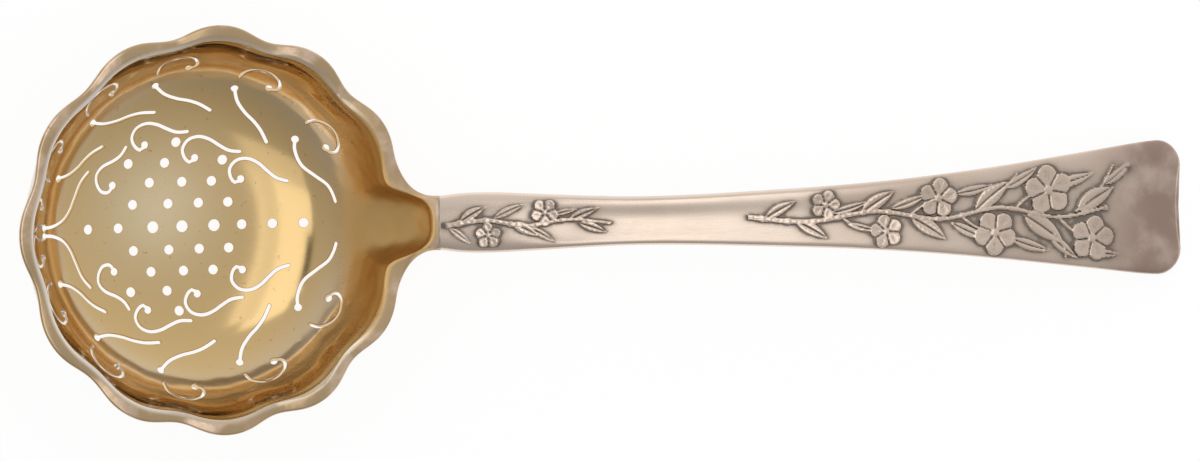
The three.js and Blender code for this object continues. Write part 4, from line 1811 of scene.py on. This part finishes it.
@dataclass(frozen=True)
class Finish:
    """What every finish of this spoon has in common, its depth being that of its relief in millimetres."""

    name: str
    roughness: float
    scratches: float
    dents: float
    haze: float
    depth: float

    def start(self) -> tuple[bpy.types.Material, Tree, bpy.types.Node, Socket]:
        """Starts the material.

        Returns:
            The material, its tree, its shader and the place that patterns read.
        """
        material = bpy.data.materials.new(self.name)
        material.use_nodes = True
        tree = material.node_tree
        shader = tree.nodes["Principled BSDF"]
        shader.inputs["Metallic"].default_value = 1.0
        place = node(tree, "ShaderNodeTexCoord").outputs["Object"]
        return material, tree, shader, place

    @staticmethod
    def painted(tree: Tree, coat: Coat) -> Socket:
        """The value that a piece is painted with."""
        return node(tree, "ShaderNodeAttribute", attribute_name=coat.value).outputs["Fac"]

    def surface(
        self,
        tree: Tree,
        place: Socket,
        effects: Effects,
        dulling: Iterable[tuple[Socket, float]] = (),
        raising: Iterable[tuple[Socket, float]] = (),
    ) -> None:
        """Gives the material its wear, roughness and fine relief.

        Args:
            tree: The material's tree.
            place: The place that patterns read.
            effects: The shared effects.
            dulling: What adds to the roughness, each with its weight.
            raising: What adds to the relief, each with its weight.
        """
        inputs = {"Place": place, "Scratches": self.scratches, "Dents": self.dents}
        wear = node(tree, "ShaderNodeGroup", inputs, node_tree=effects.wear).outputs
        shader = tree.nodes["Principled BSDF"]
        rough = built_up(tree, self.roughness, (wear["Haze"], self.haze), *dulling)
        tree.links.new(rough, shader.inputs["Roughness"])
        height = built_up(tree, wear["Height"], *raising)
        bump = node(tree, "ShaderNodeBump", {"Height": height, "Strength": 1.0, "Distance": self.depth * MM})
        tree.links.new(bump.outputs[0], shader.inputs["Normal"])


@dataclass(frozen=True)
class Gilt(Finish):
    """Polished gilding, worn to pinkish silver on the lip. Painted shade darkens the neck's throat and
    streaks the wall ring brown, and painted light makes the wall ring and the tip's upper wall paler.
    """

    name: str = "gilt_silver_polished"
    roughness: float = 0.1
    scratches: float = 0.6
    dents: float = 0.25
    haze: float = 0.07
    depth: float = 0.02
    tilt: float = 17.0
    gold: Colour = (0.73, 0.51, 0.235, 1)
    # Painted reflection and shade on the wall ring: a paler tint, and brown streaks along its raising lines.
    pale: Colour = (0.72, 0.62, 0.49, 1)
    brown: Colour = (0.62, 0.41, 0.18, 1)
    # Painted shade: the darker colour of the neck's throat.
    deep: Colour = (0.72, 0.45, 0.16, 1)
    # Painted light: the paler colour of the upper wall towards the tip.
    thin: Colour = (0.95, 0.89, 0.82, 1)
    rubbed: Colour = (0.92, 0.80, 0.57, 1)
    worn: Colour = (0.57, 0.41, 0.24, 1)
    bare: Colour = (0.80, 0.60, 0.45, 1)
    stain: Colour = (0.42, 0.29, 0.14, 1)
    edge: Colour = (0.86, 0.84, 0.8, 1)
    rings: Cloud = Cloud(scale=650, detail=2)
    ring_length: float = 0.1
    ring_range: tuple[float, ...] = (0.4, 0.72, 0.0, 0.35)
    throat_shade_share: float = 0.9
    rubbed_share: float = 0.6
    bare_patches: Patches = Patches(scale=150, detail=4, low=0.45, high=0.68)
    spots: Patches = Patches(scale=900, detail=2, low=0.68, high=0.76, start=0.0, end=0.5)
    dull_lip: float = 0.05
    dull_rubbed: float = 0.16
    dull_throat: float = 0.3
    planishing: Cloud = Cloud(scale=330, detail=1)
    folds: Cloud = Cloud(scale=210, detail=2)
    mark_scale: float = 240.0
    mark_range: tuple[float, ...] = (0.0, 0.2, 1.0, 0.0)
    planishing_height: float = 0.7
    fold_height: float = 6.0
    mark_height: float = -1.5
    ring_height: float = 0.1

    def build(self, effects: Effects) -> bpy.types.Material:
        """Makes the material.

        Args:
            effects: The shared effects.

        Returns:
            The material.
        """
        material, tree, shader, place = self.start()
        shader.inputs["Specular Tint"].default_value = self.edge
        coats = (Coat.LIP, Coat.WALL, Coat.THROAT, Coat.THIN, Coat.RUBBED)
        lip, wall, throat, thin, rubbed = (self.painted(tree, coat) for coat in coats)
        side = maths(tree, "SUBTRACT", wall, lip, clamp=True)
        drawn_out = (self.ring_length, self.ring_length, 1)
        inputs = {"Vector": place, "Rotation": (0, math.radians(-self.tilt), 0), "Scale": drawn_out}
        rings = self.rings.pattern(tree, node(tree, "ShaderNodeMapping", inputs).outputs[0])
        layers = (
            # Painted reflection: the wall ring paler.
            (wall, self.pale),
            # Painted shade: brown streaks along the wall ring's raising lines.
            (maths(tree, "MULTIPLY", side, ramp(tree, rings, *self.ring_range)), self.brown),
            # Painted shade: the throat towards the neck darker.
            (maths(tree, "MULTIPLY", throat, self.throat_shade_share), self.deep),
            # Painted light: the upper wall towards the tip paler.
            (thin, self.thin),
            (maths(tree, "MULTIPLY", rubbed, self.rubbed_share), self.rubbed),
            (lip, self.worn),
            (maths(tree, "MULTIPLY", lip, self.bare_patches.mask(tree, place)), self.bare),
            (self.spots.mask(tree, place), self.stain),
        )
        tree.links.new(layered(tree, self.gold, layers), shader.inputs["Base Color"])
        cells = node(tree, "ShaderNodeTexVoronoi", {"Vector": place, "Scale": self.mark_scale})
        marks = ramp(tree, cells.outputs["Distance"], *self.mark_range)
        raising = (
            (maths(tree, "MULTIPLY", self.planishing.pattern(tree, place), side), self.planishing_height),
            (maths(tree, "MULTIPLY", self.folds.pattern(tree, place), lip), self.fold_height),
            (maths(tree, "MULTIPLY", marks, maths(tree, "ADD", side, throat)), self.mark_height),
            (maths(tree, "MULTIPLY", rings, side), self.ring_height),
        )
        dulling = ((lip, self.dull_lip), (rubbed, self.dull_rubbed), (throat, self.dull_throat))
        self.surface(tree, place, effects, dulling, raising)
        return material


@dataclass(frozen=True)
class Silver(Finish):
    """Soft-polished silver with oxide left in the recesses."""

    name: str = "silver_struck"
    roughness: float = 0.23
    scratches: float = 1.0
    dents: float = 0.3
    haze: float = 0.1
    depth: float = 0.025
    bright: Colour = (0.86, 0.71, 0.595, 1)
    warm: Colour = (0.66, 0.51, 0.41, 1)
    brown: Colour = (0.43, 0.305, 0.25, 1)
    oxide: Colour = (0.16, 0.135, 0.115, 1)
    oxide_amount: float = 2.6
    oxide_share: float = 0.85
    warm_share: float = 0.5
    brown_patches: Patches = Patches(scale=120, detail=4, low=0.3, high=0.62, start=0.35, end=1.0)
    dull_raised: float = -0.06
    dull_oxide: float = 0.15

    def build(self, effects: Effects) -> bpy.types.Material:
        """Makes the material.

        Args:
            effects: The shared effects.

        Returns:
            The material.
        """
        material, tree, shader, place = self.start()
        coats = (Coat.RECESS, Coat.RAISED, Coat.TAIL)
        recess, raised, tail = (self.painted(tree, coat) for coat in coats)
        inputs = {"Place": place, "Recess": recess, "Amount": self.oxide_amount}
        tarnish = node(tree, "ShaderNodeGroup", inputs, node_tree=effects.tarnish).outputs
        layers = (
            (maths(tree, "MULTIPLY", tarnish["Bloom"], self.warm_share), self.warm),
            (maths(tree, "MULTIPLY", tail, self.brown_patches.mask(tree, place)), self.brown),
            (maths(tree, "MULTIPLY", tarnish["Mask"], self.oxide_share), self.oxide),
        )
        tree.links.new(layered(tree, self.bright, layers), shader.inputs["Base Color"])
        dulling = ((raised, self.dull_raised), (tarnish["Mask"], self.dull_oxide))
        self.surface(tree, place, effects, dulling)
        return material


@dataclass(frozen=True)
class Solder(Finish):
    """Hard solder, greyer and duller than the silver beside it."""

    name: str = "silver_solder"
    roughness: float = 0.34
    scratches: float = 0.5
    dents: float = 0.5
    haze: float = 0.12
    depth: float = 0.03
    grey: Colour = (0.46, 0.40, 0.34, 1)
    pale: Colour = (0.62, 0.55, 0.47, 1)
    pale_patches: Patches = Patches(scale=900, detail=3, low=0.35, high=0.65)

    def build(self, effects: Effects) -> bpy.types.Material:
        """Makes the material.

        Args:
            effects: The shared effects.

        Returns:
            The material.
        """
        material, tree, shader, place = self.start()
        layers = ((self.pale_patches.mask(tree, place), self.pale),)
        tree.links.new(layered(tree, self.grey, layers), shader.inputs["Base Color"])
        self.surface(tree, place, effects)
        return material


# Studio


@dataclass(frozen=True)
class Lamp:
    """One soft box over the spoon's middle, by the edges that its light fills, as shares of its height."""

    name: str
    left: float
    right: float
    near: float
    far: float
    radiance: float


@dataclass
class Studio:
    """The pale table, the soft boxes, the tent round them and the camera."""

    distance: float = 1.0
    back_x: float = -4.0
    back_y: float = 3.0
    roll: float = 0.87
    target: tuple[float, float, float] = (-0.00241, -0.00207, 0.012)
    lens: float = 153.37
    sensor: float = 36.0
    clip_start: float = 0.01
    floor_size: float = 3.0
    floor_drop: float = 0.0002
    floor_glow: float = 0.905
    floor_colour: Colour = (0.14, 0.14, 0.14, 1)
    floor_white: Colour = (0.8, 0.8, 0.8, 1)
    tent: float = 0.57
    tent_lean: tuple[float, float, float] = (0.09, 0.22, 0.0)
    gap_x: Point = (-0.26, -0.12)
    gap_y: Point = (0.0, 0.36)
    gap_edge: float = 0.04
    gap_shade: float = 0.75
    gap_horizon: float = 0.05
    lamp_height: float = 1.2
    lamps: tuple[Lamp, ...] = (
        Lamp("main_box", -0.2, 0.18, -0.24, 0.42, 0.78),
        Lamp("main_box_near_corner", -0.28, -0.2, -0.24, 0.03, 0.78),
        Lamp("main_box_far_corner", -0.28, -0.2, 0.33, 0.42, 0.78),
        Lamp("side_box", 0.18, 0.31, -0.24, 0.42, 0.45),
        Lamp("edge_strip", 0.31, 0.37, -0.24, 0.42, 0.65),
        Lamp("far_box", -0.16, 0.27, 0.42, 0.54, 0.75),
        Lamp("near_box", -0.25, 0.34, -0.45, -0.24, 0.38),
    )

    def camera(self) -> None:
        """Sets up the camera above the spoon, a little off upright and rolled."""
        lean_x, lean_y = (math.sin(math.radians(lean)) for lean in (self.back_x, self.back_y))
        back = Vector((lean_x, lean_y, 1)).normalized()
        right = Vector((0, 1, 0)).cross(back).normalized()
        up = back.cross(right)
        c, s = math.cos(math.radians(self.roll)), math.sin(math.radians(self.roll))
        axes = Matrix((right * c - up * s, right * s + up * c, back)).transposed()
        data = bpy.data.cameras.new("camera")
        data.lens, data.sensor_width, data.clip_start = self.lens, self.sensor, self.clip_start
        made = bpy.data.objects.new("camera", data)
        made.matrix_world = Matrix.Translation(Vector(self.target) + back * self.distance) @ axes.to_4x4()
        bpy.context.collection.objects.link(made)
        bpy.context.scene.camera = made

    def light(self) -> None:
        """Hangs the soft boxes."""
        for lamp in self.lamps:
            data = bpy.data.lights.new(lamp.name, "AREA")
            data.shape = "RECTANGLE"
            high = self.lamp_height
            data.size, data.size_y = (lamp.right - lamp.left) * high, (lamp.far - lamp.near) * high
            data.energy = lamp.radiance * math.pi * data.size * data.size_y
            made = bpy.data.objects.new(lamp.name, data)
            made.location = ((lamp.left + lamp.right) / 2 * high, (lamp.near + lamp.far) / 2 * high, high)
            bpy.context.collection.objects.link(made)

    def gap(self, tree: Tree, direction: Socket) -> Socket:
        """The dark gap in the tent that the camera looks through.

        Args:
            tree: The world's tree.
            direction: The direction that is looked in.

        Returns:
            A mask, 1 in the gap.
        """
        x, y, z = node(tree, "ShaderNodeSeparateXYZ", {0: direction}).outputs[:3]
        height = maths(tree, "MAXIMUM", z, self.gap_horizon)
        mask = None
        for axis, (low, high) in ((x, self.gap_x), (y, self.gap_y)):
            place = maths(tree, "DIVIDE", axis, height)
            opening = ramp(tree, place, low - self.gap_edge, low + self.gap_edge)
            closing = ramp(tree, place, high - self.gap_edge, high + self.gap_edge, 1.0, 0.0)
            side = maths(tree, "MULTIPLY", opening, closing)
            mask = side if mask is None else maths(tree, "MULTIPLY", mask, side)
        return mask

    def world(self) -> None:
        """Puts a pale tent round the table, a little brighter on one side, with the camera's gap in it."""
        world = bpy.data.worlds.new("tent")
        bpy.context.scene.world = world
        world.use_nodes = True
        tree = world.node_tree
        direction = node(tree, "ShaderNodeTexCoord").outputs["Generated"]
        lean = node(tree, "ShaderNodeVectorMath", {0: direction, 1: self.tent_lean}, operation="DOT_PRODUCT")
        background = tree.nodes["Background"]
        background.inputs["Color"].default_value = WHITE
        shade = maths(tree, "MULTIPLY_ADD", self.gap(tree, direction), -self.gap_shade, 1.0)
        glow = maths(tree, "MULTIPLY", maths(tree, "ADD", lean.outputs["Value"], self.tent), shade)
        tree.links.new(glow, background.inputs["Strength"])

    def floor(self) -> Piece:
        """Lays the white table, which glows for the eye and for the metal and keeps a soft shadow.

        Returns:
            The table.
        """
        deselect_all()
        bpy.ops.mesh.primitive_plane_add(size=self.floor_size, location=(0, 0, -self.floor_drop))
        made = bpy.context.object
        made.name = "table"
        material = bpy.data.materials.new("white_table")
        material.use_nodes = True
        tree = material.node_tree
        tree.nodes.remove(tree.nodes["Principled BSDF"])
        pale = node(tree, "ShaderNodeBsdfDiffuse", {"Color": self.floor_colour})
        full = node(tree, "ShaderNodeBsdfDiffuse", {"Color": self.floor_white})
        glow = node(tree, "ShaderNodeEmission", {"Color": WHITE, "Strength": self.floor_glow})
        seen = node(tree, "ShaderNodeAddShader", {0: pale.outputs[0], 1: glow.outputs[0]})
        path = node(tree, "ShaderNodeLightPath")
        looked_at = maths(tree, "MAXIMUM", path.outputs["Is Camera Ray"], path.outputs["Is Glossy Ray"])
        chosen = node(tree, "ShaderNodeMixShader", {0: looked_at, 1: full.outputs[0], 2: seen.outputs[0]})
        tree.links.new(chosen.outputs[0], tree.nodes["Material Output"].inputs["Surface"])
        made.data.materials.append(material)
        return made

    def build(self) -> None:
        """Sets up everything round the spoon."""
        self.camera()
        self.light()
        self.world()
        self.floor()
        bpy.context.scene.view_settings.view_transform = "Standard"


def place_in_spoon(piece: Piece, material: bpy.types.Material, node_name: str) -> None:
    """Dresses a finished piece and puts it in the place of its part of the solid model.

    Args:
        piece: The piece.
        material: Its finish.
        node_name: The part that it stands for.
    """
    piece.data.materials.clear()
    piece.data.materials.append(material)
    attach(piece, "root")
    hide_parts(node_name)
    log.info("%s: %d faces", piece.name, len(piece.data.polygons))


def main() -> None:
    """Builds the spoon round its solid model, then the studio, and logs each piece's count of faces."""
    logging.basicConfig(level=logging.INFO, format="%(name)s: %(message)s")
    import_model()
    effects = Effects()
    bowl = Bowl(BowlForm(), Piercing())
    handle_form = bowl.settle()
    gilding = Gilt(tilt=bowl.form.tilt).build(effects)
    place_in_spoon(bowl.build(handle_form), gilding, "bowl")
    place_in_spoon(SolderSeam(handle_form).build(), Solder().build(effects), "solder_seam")
    place_in_spoon(Handle(handle_form).build(), Silver().build(effects), "handle")
    Studio().build()
    bpy.context.view_layer.update()


if __name__ == "__main__":
    main()
